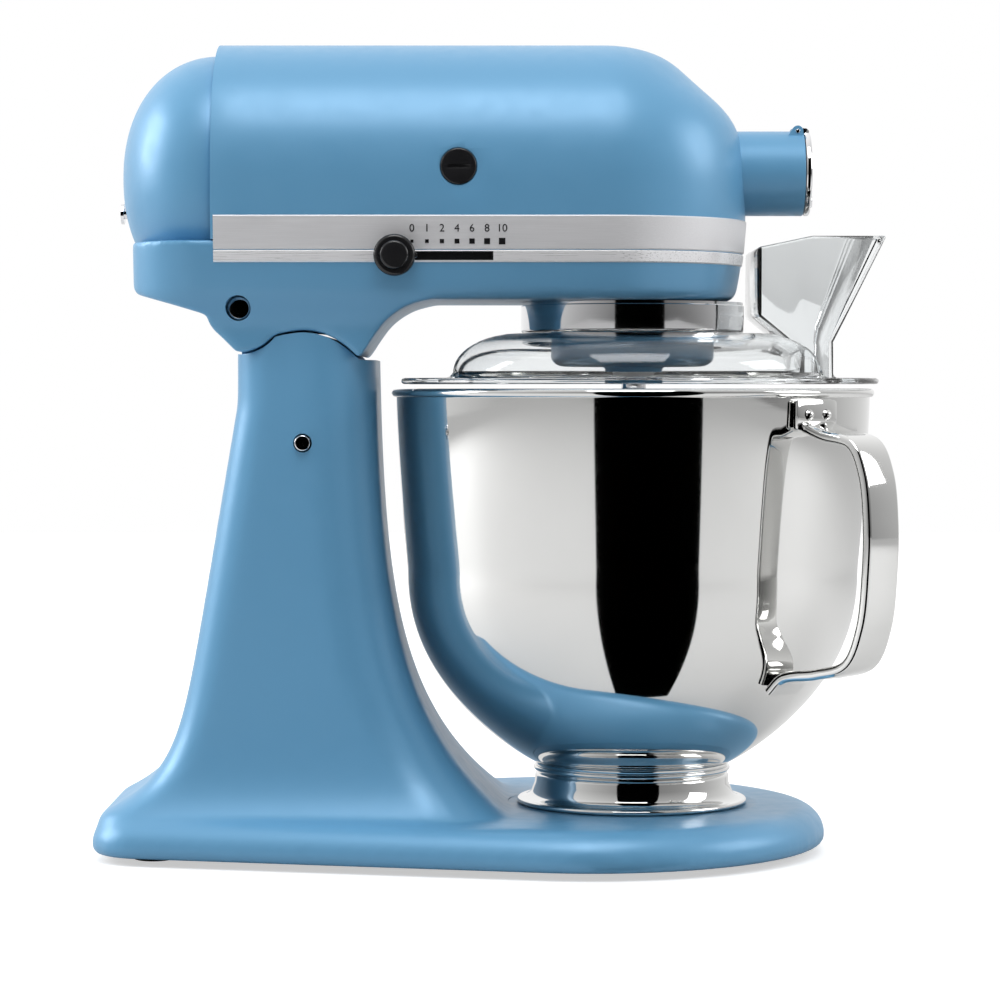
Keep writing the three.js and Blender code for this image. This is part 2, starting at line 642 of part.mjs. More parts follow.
// ---------------------------------------------------------------- shield
function pouringShield() {
  const flange = BEAD_RADIUS + 2.5;
  const wall = SHIELD_CROWN + SHIELD_SHOULDER + 8;
  const t = SHIELD_WALL;
  const dome = (inset) =>
    [0, 22.5, 45, 67.5, 90].map((degrees) => {
      const angle = THREE.MathUtils.degToRad(degrees);
      const drop = SHIELD_RISE - 5;
      return [
        SHIELD_CROWN + (wall - SHIELD_CROWN - inset) * Math.sin(angle),
        SHIELD_TOP - inset - (drop - inset) * (1 - Math.cos(angle)),
      ];
    });
  const skin = turned(
    [[36, SHIELD_TOP - t], [36, SHIELD_TOP], ...dome(0), [flange, SHIELD_BOTTOM + t + 0.6],
      [flange, SHIELD_BOTTOM], [wall - t, SHIELD_BOTTOM], ...dome(t).reverse(), [36, SHIELD_TOP - t]],
    48,
  );
  const mouth = block(-flange - PAST, 0, -SHIELD_MOUTH, SHIELD_MOUTH, SHIELD_BOTTOM - 1, SHIELD_TOP + 1);
  const throat = rod('z', SHIELD_MOUTH, SHIELD_BOTTOM - 1, SHIELD_TOP + 1, [0, 0], 48);
  return cut(skin, mouth, throat, chuteBody(-FIT - CHUTE_WALL, -1));
}

/** Chute solid: its throat drops through the shield and its mouth opens up and to the front. */
function chuteBody(inset, top) {
  const back = HEAD_FRONT + 2.5 + inset;
  const low = SHIELD_BOTTOM + 0.6;
  const high = SHIELD_TOP + CHUTE_RISE + top;
  const flangeEdge = BEAD_RADIUS + 2.5;
  const section = [
    [back + 18, low - 1],
    [back + 33 - 2 * inset, low - 1],
    [back + 33 - 2 * inset, SHIELD_TOP - 4],
    [flangeEdge - inset, high],
    [back, high],
    [back, SHIELD_TOP + 8],
    [back + 18, SHIELD_TOP - 7],
  ];
  const half = CHUTE_HALF - inset;
  return profileAlongY(section, -half, half);
}

function pouringChute() {
  const rough = chuteBody(0, 0);
  const bore = chuteBody(CHUTE_WALL, PAST);
  const ends = block(0, 200, -CHUTE_HALF - 9, CHUTE_HALF + 9, SHIELD_BOTTOM + 1.2, HEAD_TOP);
  const bottom = block(HEAD_FRONT + 2.5 + 18 + CHUTE_WALL, HEAD_FRONT + 2.5 + 33 - CHUTE_WALL,
    CHUTE_WALL - CHUTE_HALF, CHUTE_HALF - CHUTE_WALL, SHIELD_BOTTOM - PAST, SHIELD_TOP - 8);
  return both(cut(rough, bore, bottom), ends);
}

// ---------------------------------------------------------------- head castings and trim
const hubSpace = (radius, x0, x1) => rod('x', radius, x0, x1, [0, AXIS_Z], 40);

/** Room for the trim: a shallow groove all round both housings. */
function trimGroove() {
  const low = HEAD_BOTTOM + BAND_LOW - FIT;
  const high = HEAD_BOTTOM + BAND_HIGH + FIT;
  const wide = headBody(low, high, -4, SEAM - 2);
  return cut(wide, headBody(low - 1, high + 1, BAND_GROOVE, SEAM - 4));
}

function trimPiece(low, high) {
  const outer = headBody(low, high, -BAND_PROUD, SEAM + 1.2);
  return cut(outer, headBody(low - 1, high + 1, BAND_GROOVE - FIT, SEAM - 4));
}

const hubFace = HEAD_FRONT + HUB_LENGTH;
const hubLugAt = [hubFace - HUB_PIN_BACK, AXIS_Z + HUB_RADIUS - 0.5];
const hubSlotLow = hubLugAt[1] - HUB_EYE - 0.4;
const brushSleeve = (radius, y0, y1) => rod('y', radius, y0, y1, [BRUSH_X, AXIS_Z - 1], 28);

function headUpperHousing() {
  const low = SPLIT + FIT / 2;
  const shell = cut(
    headBody(low, HEAD_TOP, 0),
    headBody(low - PAST, HEAD_TOP - HEAD_WALL, HEAD_WALL, SEAM - PAST, 12),
  );
  const lugs = [-1, 1].map((side) => {
    const ends = [side * (HUB_SLOT - 1), side * (HUB_SLOT + 4)].sort((a, b) => a - b);
    const eye = rod('y', HUB_LUG, ends[0], ends[1], hubLugAt, 20);
    const foot = block(
      hubLugAt[0] - HUB_LUG,
      hubLugAt[0] + HUB_LUG,
      ends[0],
      ends[1],
      AXIS_Z + HUB_RADIUS - 5,
      hubLugAt[1],
    );
    return join(eye, foot);
  });
  const eyeSlot = block(
    hubLugAt[0] - HUB_EYE - 0.5,
    hubFace + PAST,
    -HUB_SLOT,
    HUB_SLOT,
    hubSlotLow,
    AXIS_Z + HUB_RADIUS + 9,
  );
  const knobBoss = rod('y', 6, HUB_RADIUS - 5, HUB_RADIUS + 1.5, [hubFace - 12, AXIS_Z], 24);
  const whole = join(shell, hubSpace(HUB_RADIUS, HEAD_FRONT - 10, hubFace), knobBoss, ...lugs);
  return cut(
    whole,
    trimGroove(),
    headBody(low - PAST, HEAD_TOP - HEAD_WALL, HEAD_WALL, SEAM - PAST, 12),
    hubSpace(HUB_BORE, HEAD_FRONT - 20, hubFace + PAST),
    rod('y', 3.2 + RUN, 0, HUB_RADIUS + 10, [hubFace - 12, AXIS_Z], 20),
    rod('y', HUB_PIN + FIT, -20, 20, hubLugAt, 16),
    eyeSlot,
    brushSleeve(BRUSH_HOLDER_RADIUS + FIT, -HEAD_HALF - PAST, -HEAD_HALF + 20),
    brushSleeve(BRUSH_HOLDER_RADIUS + FIT, HEAD_HALF - 20, HEAD_HALF + PAST),
    brushSleeve(BRUSH_CAP_RADIUS + FIT, -HEAD_HALF - PAST, -HEAD_HALF + 1.6),
    brushSleeve(BRUSH_CAP_RADIUS + FIT, HEAD_HALF - 1.6, HEAD_HALF + PAST),
  );
}

const tailCircles = [SEAM + 70, TAIL + TAIL_RADIUS].flatMap((x) => [
  [x, COLUMN_HALF - TAIL_RADIUS, TAIL_RADIUS],
  [x, TAIL_RADIUS - COLUMN_HALF, TAIL_RADIUS],
]);
const slotZ = HEAD_BOTTOM + (BAND_LOW + BAND_MIDDLE) / 2;

function headLowerHousing() {
  const high = SPLIT - FIT / 2;
  const curve = partingCurve(0);
  const last = curve[curve.length - 1];
  const keelProfile = [
    [TAIL, high],
    [TAIL, HEAD_BOTTOM + 6.7],
    [TAIL + 2.6, HEAD_BOTTOM + 2.7],
    [TAIL + 10, HEAD_BOTTOM + 0.6],
    [PIN_X - CHEEK_RADIUS + 4, PIN_Z - 3.4],
    [PIN_X - 0.72 * CHEEK_RADIUS, PIN_Z - 0.69 * CHEEK_RADIUS],
    ...curve,
    [last[0] + 1.2, last[1] + 0.4],
    [last[0] + 5, last[1] + 7],
    [last[0] + 10, last[1] + 14],
    [last[0] + 16, last[1] + 19],
    [last[0] + 25, last[1] + 23.6],
    [last[0] + 36, HEAD_BOTTOM + 2],
    [last[0] + 36, high],
  ];
  const plan = (inset, low, top) =>
    loft([low, top].map((z) => hullRing(tailCircles, z, inset, 48)));
  const keel = both(
    profileAlongY(keelProfile, -COLUMN_HALF, COLUMN_HALF),
    plan(0, PIN_Z - 60, high),
  );
  const boss = rod('z', CENTRE_SHAFT + RUN + CENTRE_BUSH + 3.5, HEAD_BOTTOM, HEAD_BOTTOM + 8, [0, 0], 32);
  const cavity = join(
    headBody(HEAD_BOTTOM + HEAD_WALL, high + PAST, HEAD_WALL, SEAM + HEAD_WALL, 12),
    plan(HEAD_WALL, HEAD_BOTTOM + 7, high + PAST),
  );
  const slotHalf = KNUCKLE_HALF + RUN;
  const slotX0 = SPEED_X - SPEED_STEM_LENGTH / 2 - RUN;
  const slotX1 = SPEED_X + SPEED_TRAVEL + SPEED_STEM_LENGTH / 2 + RUN;
  const slotHalfHeight = SPEED_STEM_HEIGHT / 2 + RUN;
  return cut(
    join(cut(join(headBody(HEAD_BOTTOM, high, 0), keel), cavity, trimGroove()), boss),
    block(TAIL - PAST, PIN_X + 56, -slotHalf, slotHalf, PIN_Z - 60, PIN_Z),
    rod('y', PIN_RADIUS + KNUCKLE_WALL + RUN, -slotHalf, slotHalf, [PIN_X, PIN_Z], 36),
    rod('y', PIN_RADIUS + FIT, -COLUMN_HALF - PAST, COLUMN_HALF + PAST, [PIN_X, PIN_Z], 32),
    block(slotX0, slotX1, -HEAD_HALF - PAST, 12 - HEAD_HALF, slotZ - slotHalfHeight, slotZ + slotHalfHeight),
    rod('z', CENTRE_SHAFT + RUN + CENTRE_BUSH + FIT, HEAD_BOTTOM - 1, HEAD_BOTTOM + 20, [0, 0], 32),
  );
}

function trimStrip() {
  const high = HEAD_BOTTOM + BAND_MIDDLE - FIT;
  const slotHalfHeight = SPEED_STEM_HEIGHT / 2 + RUN;
  const x0 = SPEED_X - SPEED_STEM_LENGTH / 2 - RUN;
  const x1 = SPEED_X + SPEED_TRAVEL + SPEED_STEM_LENGTH / 2 + RUN;
  return cut(
    trimPiece(HEAD_BOTTOM + BAND_LOW, high),
    block(x0, x1, -HEAD_HALF - PAST, 12 - HEAD_HALF, slotZ - slotHalfHeight, slotZ + slotHalfHeight),
  );
}

function rearCover() {
  const face = SEAM - FIT;
  const middle = HEAD_BOTTOM + 53.3;
  const rise = HEAD_TOP - 5 - middle;
  const body = (inset, start) =>
    loft(
      Array.from({ length: 8 }, (_, k) => {
        const angle = (k / 7) * THREE.MathUtils.degToRad(84);
        const share = Math.cos(angle) ** 0.92;
        const x = start - (COVER_DEPTH - inset) * Math.sin(angle) ** 0.95;
        return Array.from({ length: 32 }, (_unused, i) => {
          const turn = (2 * Math.PI * i) / 32;
          const power = 2 / SECTION_POWER;
          const across = Math.sign(Math.cos(turn)) * Math.abs(Math.cos(turn)) ** power;
          const up = Math.sign(Math.sin(turn)) * Math.abs(Math.sin(turn)) ** power;
          return new THREE.Vector3(
            x,
            (HEAD_HALF - COVER_STEP - inset) * share * across,
            middle + (rise - inset) * share * up,
          );
        });
      }),
    );
  const below = block(-400, 0, -100, 100, 0, SPLIT + FIT / 2);
  const screwHole = rod('x', SCREW_SHANK + FIT, face - 100, face, [0, SPLIT + 14], 16);
  return cut(body(0, face), body(3, face + 1.5), below, screwHole);
}

function rearCoverScrew() {
  const end = SEAM - FIT - COVER_DEPTH;
  const z = SPLIT + 14;
  return join(
    rod('x', SCREW_SHANK, end - 0.2, end + 14, [0, z], 16),
    rod('x', SCREW_HEAD, end - 1.4, end - 0.1, [0, z], 20),
  );
}

// ---------------------------------------------------------------- drive train
const wheelDrop = WORM_RADIUS + (WHEEL_TEETH * WORM_MODULE) / 2;
const spurDistance = (SPUR_MODULE * (CENTRE_TEETH + PINION_TEETH)) / 2;
const wheelX = -Math.sqrt(spurDistance ** 2 - wheelDrop ** 2);
const wheelAt = [wheelX, wheelDrop];
const spurLow = SPLIT + 2;
const spurHigh = spurLow + 11;
const mitreBottom = AXIS_Z - MITRE_RADIUS;
const mitreSeat = mitreBottom - 2.5;

const spun = (points, degrees, centre) => {
  const turn = THREE.MathUtils.degToRad(degrees);
  return points.map(([x, y]) => [
    centre[0] + x * Math.cos(turn) - y * Math.sin(turn),
    centre[1] + x * Math.sin(turn) + y * Math.cos(turn),
  ]);
};

/** Angle, in degrees, of the line from the centre gear to the pinion. */
const pinionBearing = THREE.MathUtils.radToDeg(Math.atan2(wheelAt[1], wheelAt[0]));

function centreGear() {
  const outline = gearPoints(CENTRE_TEETH, (SPUR_MODULE * CENTRE_TEETH) / 2, 0.8 * SPUR_MODULE, 1.15 * SPUR_MODULE);
  return cut(
    plate(spun(outline, pinionBearing, [0, 0]), spurLow, spurHigh),
    rod('z', CENTRE_SHAFT + FIT, spurLow - 1, spurHigh + 1, [0, 0], 32),
  );
}

function pinion() {
  const outline = gearPoints(PINION_TEETH, (SPUR_MODULE * PINION_TEETH) / 2, 0.8 * SPUR_MODULE,
    1.15 * SPUR_MODULE, 0.36, 0.5);
  return cut(
    plate(spun(outline, pinionBearing + 180, wheelAt), spurLow - 1, spurHigh + 1),
    rod('z', 4 + FIT, spurLow - 2, spurHigh + 2, wheelAt, 24),
  );
}

function wormWheel() {
  const outline = gearPoints(WHEEL_TEETH, (WORM_MODULE * WHEEL_TEETH) / 2, 0.75 * WORM_MODULE,
    1.25 * WORM_MODULE, 0.3, 0.5);
  const start = ((2 * wheelX) / (WORM_MODULE * WHEEL_TEETH)) * (180 / Math.PI);
  return cut(
    plate(spun(outline, -90 - start, wheelAt), AXIS_Z - 3.5, AXIS_Z + 3.5),
    rod('z', 4 + FIT, AXIS_Z - 5, AXIS_Z + 5, wheelAt, 24),
  );
}

function wheelShaft() {
  return rod('z', 4, SPLIT - 14, AXIS_Z + 7, wheelAt, 24);
}

function centreShaft() {
  return join(
    rod('z', CENTRE_SHAFT, HEAD_BOTTOM - 1.5, mitreSeat - FIT, [0, 0], 28),
    rod('z', CENTRE_SPIGOT, carrierLow + 4, HEAD_BOTTOM - 1, [0, 0], 24),
  );
}

const centreBearing = () =>
  ring(CENTRE_SHAFT + RUN, CENTRE_SHAFT + RUN + CENTRE_BUSH, HEAD_BOTTOM + FIT, HEAD_BOTTOM + 7.5, 32);

function centreMitre() {
  return join(mitreGear(0, AXIS_Z), rod('z', 9, mitreSeat, mitreBottom + 0.5, [0, 0], 24));
}

function hubMitre() {
  const upright = join(mitreGear(0.5, 0), rod('z', 9, -MITRE_RADIUS - 2, 0.5 - MITRE_RADIUS, [0, 0], 28));
  return upright.rotate([0, -90, 0]).translate([0, 0, AXIS_Z]);
}

function hubDriveShaft() {
  return hubSpace(HUB_SHAFT, MITRE_RADIUS + 2 + FIT, hubFace - 12);
}

function hubBearing() {
  return cut(hubSpace(HUB_BORE - FIT, HEAD_FRONT - 7, HEAD_FRONT + 1), hubSpace(HUB_SHAFT + RUN, 0, 90));
}

const carrierTop = HEAD_BOTTOM - 12;
const carrierLow = carrierTop - PLANETARY_HEIGHT;
const agitatorAt = [0, -ORBIT];

function planetaryCarrier() {
  const edge = 5;
  const round = [0, 30, 60, 90].map((degrees) => {
    const angle = THREE.MathUtils.degToRad(degrees);
    return [PLANETARY_RADIUS - edge * (1 - Math.sin(angle)), carrierLow + edge * (1 - Math.cos(angle))];
  });
  const drum = turned([[0, carrierLow], ...round, [PLANETARY_RADIUS, carrierTop], [0, carrierTop]], 48);
  const sleeve = rod('z', SLEEVE_RADIUS, carrierLow - SLEEVE_LENGTH, carrierLow + 3, agitatorAt, 32);
  return cut(
    join(drum, sleeve),
    rod('z', CENTRE_SPIGOT + FIT, carrierLow + 4 - FIT, carrierTop + 1, [0, 0], 24),
    rod('z', AGITATOR_SHAFT + RUN, carrierLow - SLEEVE_LENGTH - 1, carrierTop + 1, agitatorAt, 28),
  );
}

function ringGear() {
  const low = carrierTop + RUN;
  const high = HEAD_BOTTOM - FIT;
  const rim = RING_PITCH + 5;
  const gap = gearPoints(RING_TEETH, RING_PITCH, 1.15 * RING_MODULE, 0.8 * RING_MODULE, 0.62);
  const teeth = plate(gap, low - 1, high - 2.2);
  const body = join(rod('z', rim, low, high - 2, [0, 0], 48), rod('z', 43, high - 3, high, [0, 0], 48));
  return cut(body, teeth, rod('z', CENTRE_SHAFT + 4, low - 1, high + 1, [0, 0], 32));
}

function dripRing() {
  const low = HEAD_BOTTOM - FIT - DRIP_RING_HEIGHT;
  const high = HEAD_BOTTOM - FIT;
  const outer = DRIP_RING_RADIUS;
  const inner = outer - DRIP_RING_WALL;
  return turned(
    [[inner, low], [outer - 0.8, low], [outer, low + 0.8], [outer, high], [inner, high], [inner, low]],
    56,
  );
}

function agitatorShaft() {
  return join(
    rod('z', AGITATOR_SHAFT, carrierLow - SLEEVE_LENGTH - 24, carrierTop + 0.2, agitatorAt, 28),
    rod('x', 1.8, -9, 9, [-ORBIT, carrierLow - SLEEVE_LENGTH - 9], 12),
  );
}

function planetPinion() {
  const low = carrierTop + RUN;
  const outline = gearPoints(PLANET_TEETH, PLANET_PITCH, 0.8 * RING_MODULE, 1.15 * RING_MODULE, 0.34);
  return plate(spun(outline, -90, agitatorAt), low, HEAD_BOTTOM - 3.4);
}

const beaterTop = carrierLow - SLEEVE_LENGTH - 1.5;
const beaterLow = BOWL_BOTTOM + 22;

/** Flat beater: a rounded frame with a centre rib and one cross rib, hung from a hub. */
function flatBeater() {
  const middle = beaterLow + 0.42 * (beaterTop - 26 - beaterLow);
  const widest = 44;
  const frame = (inset) =>
    Array.from({ length: 40 }, (_, i) => {
      const turn = (2 * Math.PI * i) / 40;
      const height = Math.sin(turn) > 0 ? beaterTop - 22 - middle : middle - beaterLow;
      return [
        (widest - inset) * Math.cos(turn) * (Math.sin(turn) > 0 ? 1 - 0.25 * Math.sin(turn) : 1),
        middle + (height - inset) * Math.sin(turn),
      ];
    });
  const rim = cut(profileAlongY(frame(0), -3.5, 3.5), profileAlongY(frame(8), -6, 6));
  const ribs = both(
    join(block(-4, 4, -3.5, 3.5, beaterLow + 2, beaterTop - 20), block(-60, 60, -3.5, 3.5, middle - 4, middle + 4)),
    profileAlongY(frame(1), -6, 6),
  );
  const hub = rod('z', 9.5, beaterTop - 26, beaterTop - 2, [0, 0], 28);
  const socket = join(
    rod('z', AGITATOR_SHAFT + FIT, beaterTop - 24, beaterTop, [0, 0], 28),
    block(-12, 12, -2.2, 2.2, beaterTop - 12, beaterTop),
  );
  return cut(join(rim, ribs, hub), socket).translate([0, -ORBIT, 0]);
}

// ---------------------------------------------------------------- motor
const wormX = [wheelX - 13, wheelX + 14];
const fanX = [SEAM + 9, SEAM + 9 + FAN_WIDTH];
const armatureX = [fanX[1] + FAN_WIDTH, BRUSH_X - 22];
const motorSpan = [SEAM - FAN_WIDTH, 0];
const motorAxis = (radius, x0, x1, sides = 32) => rod('x', radius, x0, x1, [0, AXIS_Z], sides);

const motorShaft = () => motorAxis(MOTOR_SHAFT, SEAM + 1, wormX[0] - FIT);
const armature = () =>
  cut(motorAxis(ARMATURE_RADIUS, ...armatureX, 40), motorAxis(MOTOR_SHAFT + FIT, ...motorSpan));
const commutator = () =>
  cut(motorAxis(COMMUTATOR_RADIUS, BRUSH_X - 8, BRUSH_X + 8, 36), motorAxis(MOTOR_SHAFT + FIT, ...motorSpan));

function fieldStack() {
  const shell = motorAxis(FIELD_RADIUS, armatureX[0] + 4, armatureX[1] - 4, 44);
  const flats = [-1, 1].map((side) => {
    const ends = [side * (FIELD_RADIUS - 4), side * (FIELD_RADIUS + 10)].sort((a, b) => a - b);
    return block(...motorSpan, ends[0], ends[1], 0, 2 * AXIS_Z);
  });
  return cut(shell, motorAxis(ARMATURE_RADIUS + MOTOR_GAP, ...motorSpan, 40), ...flats);
}

function motorFan() {
  const blades = Array.from({ length: FAN_BLADES }, (_, i) =>
    block(...fanX, -1, 1, FAN_BOSS - 2, FAN_RADIUS)
      .rotate([(360 / FAN_BLADES) * i, 0, 0])
      .translate([0, 0, AXIS_Z]),
  );
  const disc = join(motorAxis(FAN_BOSS, ...fanX, 28), motorAxis(FAN_RADIUS, fanX[1] - 1.6, fanX[1], 36));
  return cut(join(disc, ...blades), motorAxis(MOTOR_SHAFT + FIT, ...motorSpan));
}

function bearingBracket() {
  const x1 = wheelX - (WORM_MODULE * WHEEL_TEETH) / 2 - WORM_MODULE;
  const floor = HEAD_BOTTOM + HEAD_WALL + FIT;
  const plateBody = block(x1 - BRACKET_THICKNESS, x1, -30, 30, floor, AXIS_Z + 24);
  return cut(plateBody, motorAxis(MOTOR_SHAFT + RUN, ...motorSpan));
}

function brushHolder(side) {
  const inner = COMMUTATOR_RADIUS + 1.2;
  const outer = HEAD_HALF - 3.4;
  const ends = [side * inner, side * outer].sort((a, b) => a - b);
  return brushSleeve(BRUSH_HOLDER_RADIUS, ...ends);
}

function brushCap(side) {
  const inner = HEAD_HALF - 3.1 + FIT;
  const face = HEAD_HALF + 0.6;
  const ends = [side * inner, side * (HEAD_HALF - 0.9)].sort((a, b) => a - b);
  const flange = [side * (HEAD_HALF - 1.3), side * face].sort((a, b) => a - b);
  return cut(
    join(brushSleeve(BRUSH_HOLDER_RADIUS - 0.3, ...ends), brushSleeve(BRUSH_CAP_RADIUS, ...flange)),
    block(BRUSH_X - 4.6, BRUSH_X + 4.6, side > 0 ? face - 0.9 : -face - 1, side > 0 ? face + 1 : 0.9 - face,
      AXIS_Z - 1.8, AXIS_Z - 0.2),
  );
}

// ---------------------------------------------------------------- hub parts
function hubCover() {
  const x0 = hubFace + FIT;
  const half = HUB_SLOT - FIT;
  const [pinX, pinZ] = hubLugAt;
  const tab = block(pinX, x0 + HUB_COVER, -half, half, pinZ - HUB_EYE, pinZ + HUB_EYE - 0.4);
  const eye = rod('y', HUB_EYE, -half, half, hubLugAt, 20);
  const grip = rod('x', 3.2, x0 + HUB_COVER - 0.5, x0 + HUB_COVER + 1.6, [0, AXIS_Z - 12], 20);
  const disc = rod('x', HUB_RADIUS, x0, x0 + HUB_COVER, [0, AXIS_Z], 40, HUB_RADIUS - 0.8);
  return cut(join(disc, tab, eye, grip), rod('y', HUB_PIN + FIT, -20, 20, hubLugAt, 16));
}

const hubCoverPin = () => rod('y', HUB_PIN, -HUB_SLOT - 4.3, HUB_SLOT + 4.3, hubLugAt, 16);

function attachmentKnob() {
  const at = [hubFace - 12, AXIS_Z];
  const start = HUB_RADIUS + 1.5 + RUN;
  const grip = rod('y', HUB_KNOB_RADIUS, start, start + 9, at, 24, HUB_KNOB_RADIUS - 1.2);
  const flutes = Array.from({ length: 8 }, (_, i) => {
    const angle = (Math.PI / 4) * i;
    const place = [at[0] + 10.4 * Math.cos(angle), at[1] + 10.4 * Math.sin(angle)];
    return rod('y', 2.4, start - 1, start + 10, place, 12);
  });
  return join(cut(grip, ...flutes), rod('y', 3.2, HUB_SHAFT + 2, start + 1, at, 20));
}

// ---------------------------------------------------------------- controls and hinge pieces
function speedKnob() {
  const inner = -(HEAD_HALF + BAND_PROUD + RUN);
  return join(
    rod('y', SPEED_KNOB_RADIUS, inner - 7, inner, [SPEED_X, slotZ], 32),
    rod('y', SPEED_KNOB_RADIUS - 2.4, inner - 9, inner - 7.1 + 0.2, [SPEED_X, slotZ], 32),
    block(SPEED_X - 1.5, SPEED_X + SPEED_KNOB_RADIUS + 1.2, inner - 5, inner, slotZ - 1.4, slotZ + 1.4),
  );
}

function speedLever() {
  const inner = -(HEAD_HALF + BAND_PROUD + RUN) + FIT;
  const halfLength = SPEED_STEM_LENGTH / 2;
  const halfHeight = SPEED_STEM_HEIGHT / 2;
  const plateY = HEAD_WALL + 8 - HEAD_HALF;
  return join(
    block(SPEED_X - halfLength, SPEED_X + halfLength, inner, plateY, slotZ - halfHeight, slotZ + halfHeight),
    block(SPEED_X - 26, SPEED_X + 6, plateY - 1, plateY + 1, slotZ - 5, slotZ + 5),
  );
}

const lockShaft = () => rod('y', LOCK_SHAFT, -COLUMN_HALF - 2.2, COLUMN_HALF + 8, [lockX, lockZ], 24);

function lockLever() {
  const y0 = COLUMN_HALF + 8 + FIT;
  const arm = profileAlongY(
    [[lockX - 5, lockZ - 5], [lockX + 4, lockZ - 5], [lockX + 3, lockZ + LOCK_ARM], [lockX - 4, lockZ + LOCK_ARM]],
    y0,
    y0 + 4,
  );
  const eye = rod('y', 6.5, y0, y0 + 4, [lockX, lockZ], 24);
  const knob = rod('y', 6.5, y0 + 3, y0 + 15, [lockX - 0.5, lockZ + LOCK_ARM], 24, 5.4);
  return join(arm, eye, knob);
}

const hingePin = () => rod('y', PIN_RADIUS, -COLUMN_HALF + 0.4, COLUMN_HALF - 0.4, [PIN_X, PIN_Z], 32);

// ---------------------------------------------------------------- assembly
const PAINT = { color: 0x6aa6d4, roughness: 0.45, metalness: 0.25 };
const STEEL = { color: 0xc9ccd0, roughness: 0.12, metalness: 1 };
const CHROME = { color: 0xd8dadd, roughness: 0.06, metalness: 1 };
const SATIN = { color: 0xb9bbbf, roughness: 0.35, metalness: 0.9 };
const DARK_STEEL = { color: 0x7d8086, roughness: 0.4, metalness: 1 };
const BRASS = { color: 0xb48a43, roughness: 0.35, metalness: 1 };
const COPPER = { color: 0xa8623a, roughness: 0.45, metalness: 0.8 };
const BLACK = { color: 0x17181a, roughness: 0.35, metalness: 0 };
const RUBBER = { color: 0x3a3b3d, roughness: 0.85, metalness: 0 };
const CLEAR = { color: 0xe6eef2, roughness: 0.08, metalness: 0, transparent: true, opacity: 0.4 };
const CAST = { color: 0xa9adb1, roughness: 0.5, metalness: 0.8 };

const mixer = new THREE.Group();

function show(name, body, finish) {
  const { vertProperties, triVerts } = body.getMesh();
  const geometry = new THREE.BufferGeometry();
  geometry.setAttribute('position', new THREE.Float32BufferAttribute(vertProperties, 3));
  geometry.setIndex(Array.from(triVerts));
  geometry.computeVertexNormals();
  const mesh = new THREE.Mesh(geometry, new THREE.MeshStandardMaterial(finish));
  mesh.name = name;
  mixer.add(mesh);
}

const pedestal = pedestalCasting();
show('pedestal_base', both(pedestal, acrossBase(0, DECK)), PAINT);
show('pedestal_column', both(pedestal, acrossBase(DECK + FIT, HEAD_TOP)), PAINT);
feetPlaces.forEach((at, i) =>
  show(`rubber_foot_${i + 1}`, rod('z', FOOT_RADIUS - 1, 0, FOOT_HEIGHT, at, 24, FOOT_RADIUS), RUBBER),
);
show('bowl_clamp_plate', clampPlate(), SATIN);
clampScrews.forEach((at, i) => show(`clamp_screw_${i + 1}`, clampScrew(at), DARK_STEEL));
show('hinge_pin', hingePin(), CHROME);
show('lock_shaft', lockShaft(), CHROME);
show('lock_lever', lockLever(), BLACK);

show('bowl', bowl(), STEEL);
show('bowl_foot', bowlFoot(), STEEL);
show('bowl_handle', bowlHandle(), STEEL);
show('handle_rivet_1', handleRivet(-1), STEEL);
show('handle_rivet_2', handleRivet(1), STEEL);

show('head_upper_housing', headUpperHousing(), PAINT);
show('head_lower_housing', headLowerHousing(), PAINT);
show('rear_cover', rearCover(), PAINT);
show('rear_cover_screw', rearCoverScrew(), CHROME);
show('trim_band', trimPiece(HEAD_BOTTOM + BAND_MIDDLE, HEAD_BOTTOM + BAND_HIGH), SATIN);
show('trim_strip', trimStrip(), CHROME);
show('drip_ring', dripRing(), CHROME);
show('ring_gear', ringGear(), DARK_STEEL);
show('motor_field', fieldStack(), COPPER);
show('worm_bearing_bracket', bearingBracket(), CAST);
show('hub_bearing', hubBearing(), BRASS);
show('center_bearing', centreBearing(), BRASS);
show('brush_holder_left', brushHolder(-1), BRASS);
show('brush_holder_right', brushHolder(1), BRASS);
show('brush_cap_left', brushCap(-1), BLACK);
show('brush_cap_right', brushCap(1), BLACK);
show('hub_cover_pin', hubCoverPin(), CHROME);

show('motor_shaft', motorShaft(), DARK_STEEL);
show('worm', worm(...wormX), DARK_STEEL);
show('armature', armature(), COPPER);
show('commutator', commutator(), COPPER);
show('motor_fan', motorFan(), CAST);
show('worm_wheel', wormWheel(), BRASS);
show('wheel_shaft', wheelShaft(), DARK_STEEL);
show('drive_pinion', pinion(), DARK_STEEL);
show('center_gear', centreGear(), DARK_STEEL);
show('center_shaft', centreShaft(), DARK_STEEL);
show('center_mitre_gear', centreMitre(), DARK_STEEL);
show('hub_mitre_gear', hubMitre(), DARK_STEEL);
show('hub_drive_shaft', hubDriveShaft(), DARK_STEEL);
show('planetary_carrier', planetaryCarrier(), PAINT);
show('agitator_shaft', agitatorShaft(), CHROME);
show('planet_pinion', planetPinion(), DARK_STEEL);
show('flat_beater', flatBeater(), SATIN);

show('hub_cover', hubCover(), CHROME);
show('attachment_knob', attachmentKnob(), BLACK);
show('speed_knob', speedKnob(), BLACK);
show('speed_lever', speedLever(), DARK_STEEL);
show('pouring_shield', pouringShield(), CLEAR);
show('pouring_chute', pouringChute(), CLEAR);

const extent = new THREE.Box3().setFromObject(mixer);
const middle = extent.getCenter(new THREE.Vector3());
mixer.position.set(-middle.x, -middle.y, -extent.min.z);

export default mixer;
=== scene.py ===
"""Looks of a tilt-head stand mixer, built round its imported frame. Lengths are in metres."""

from __future__ import annotations

import json
import logging
import math
from dataclasses import dataclass, field
from enum import Enum
from typing import Callable, Iterable, Sequence

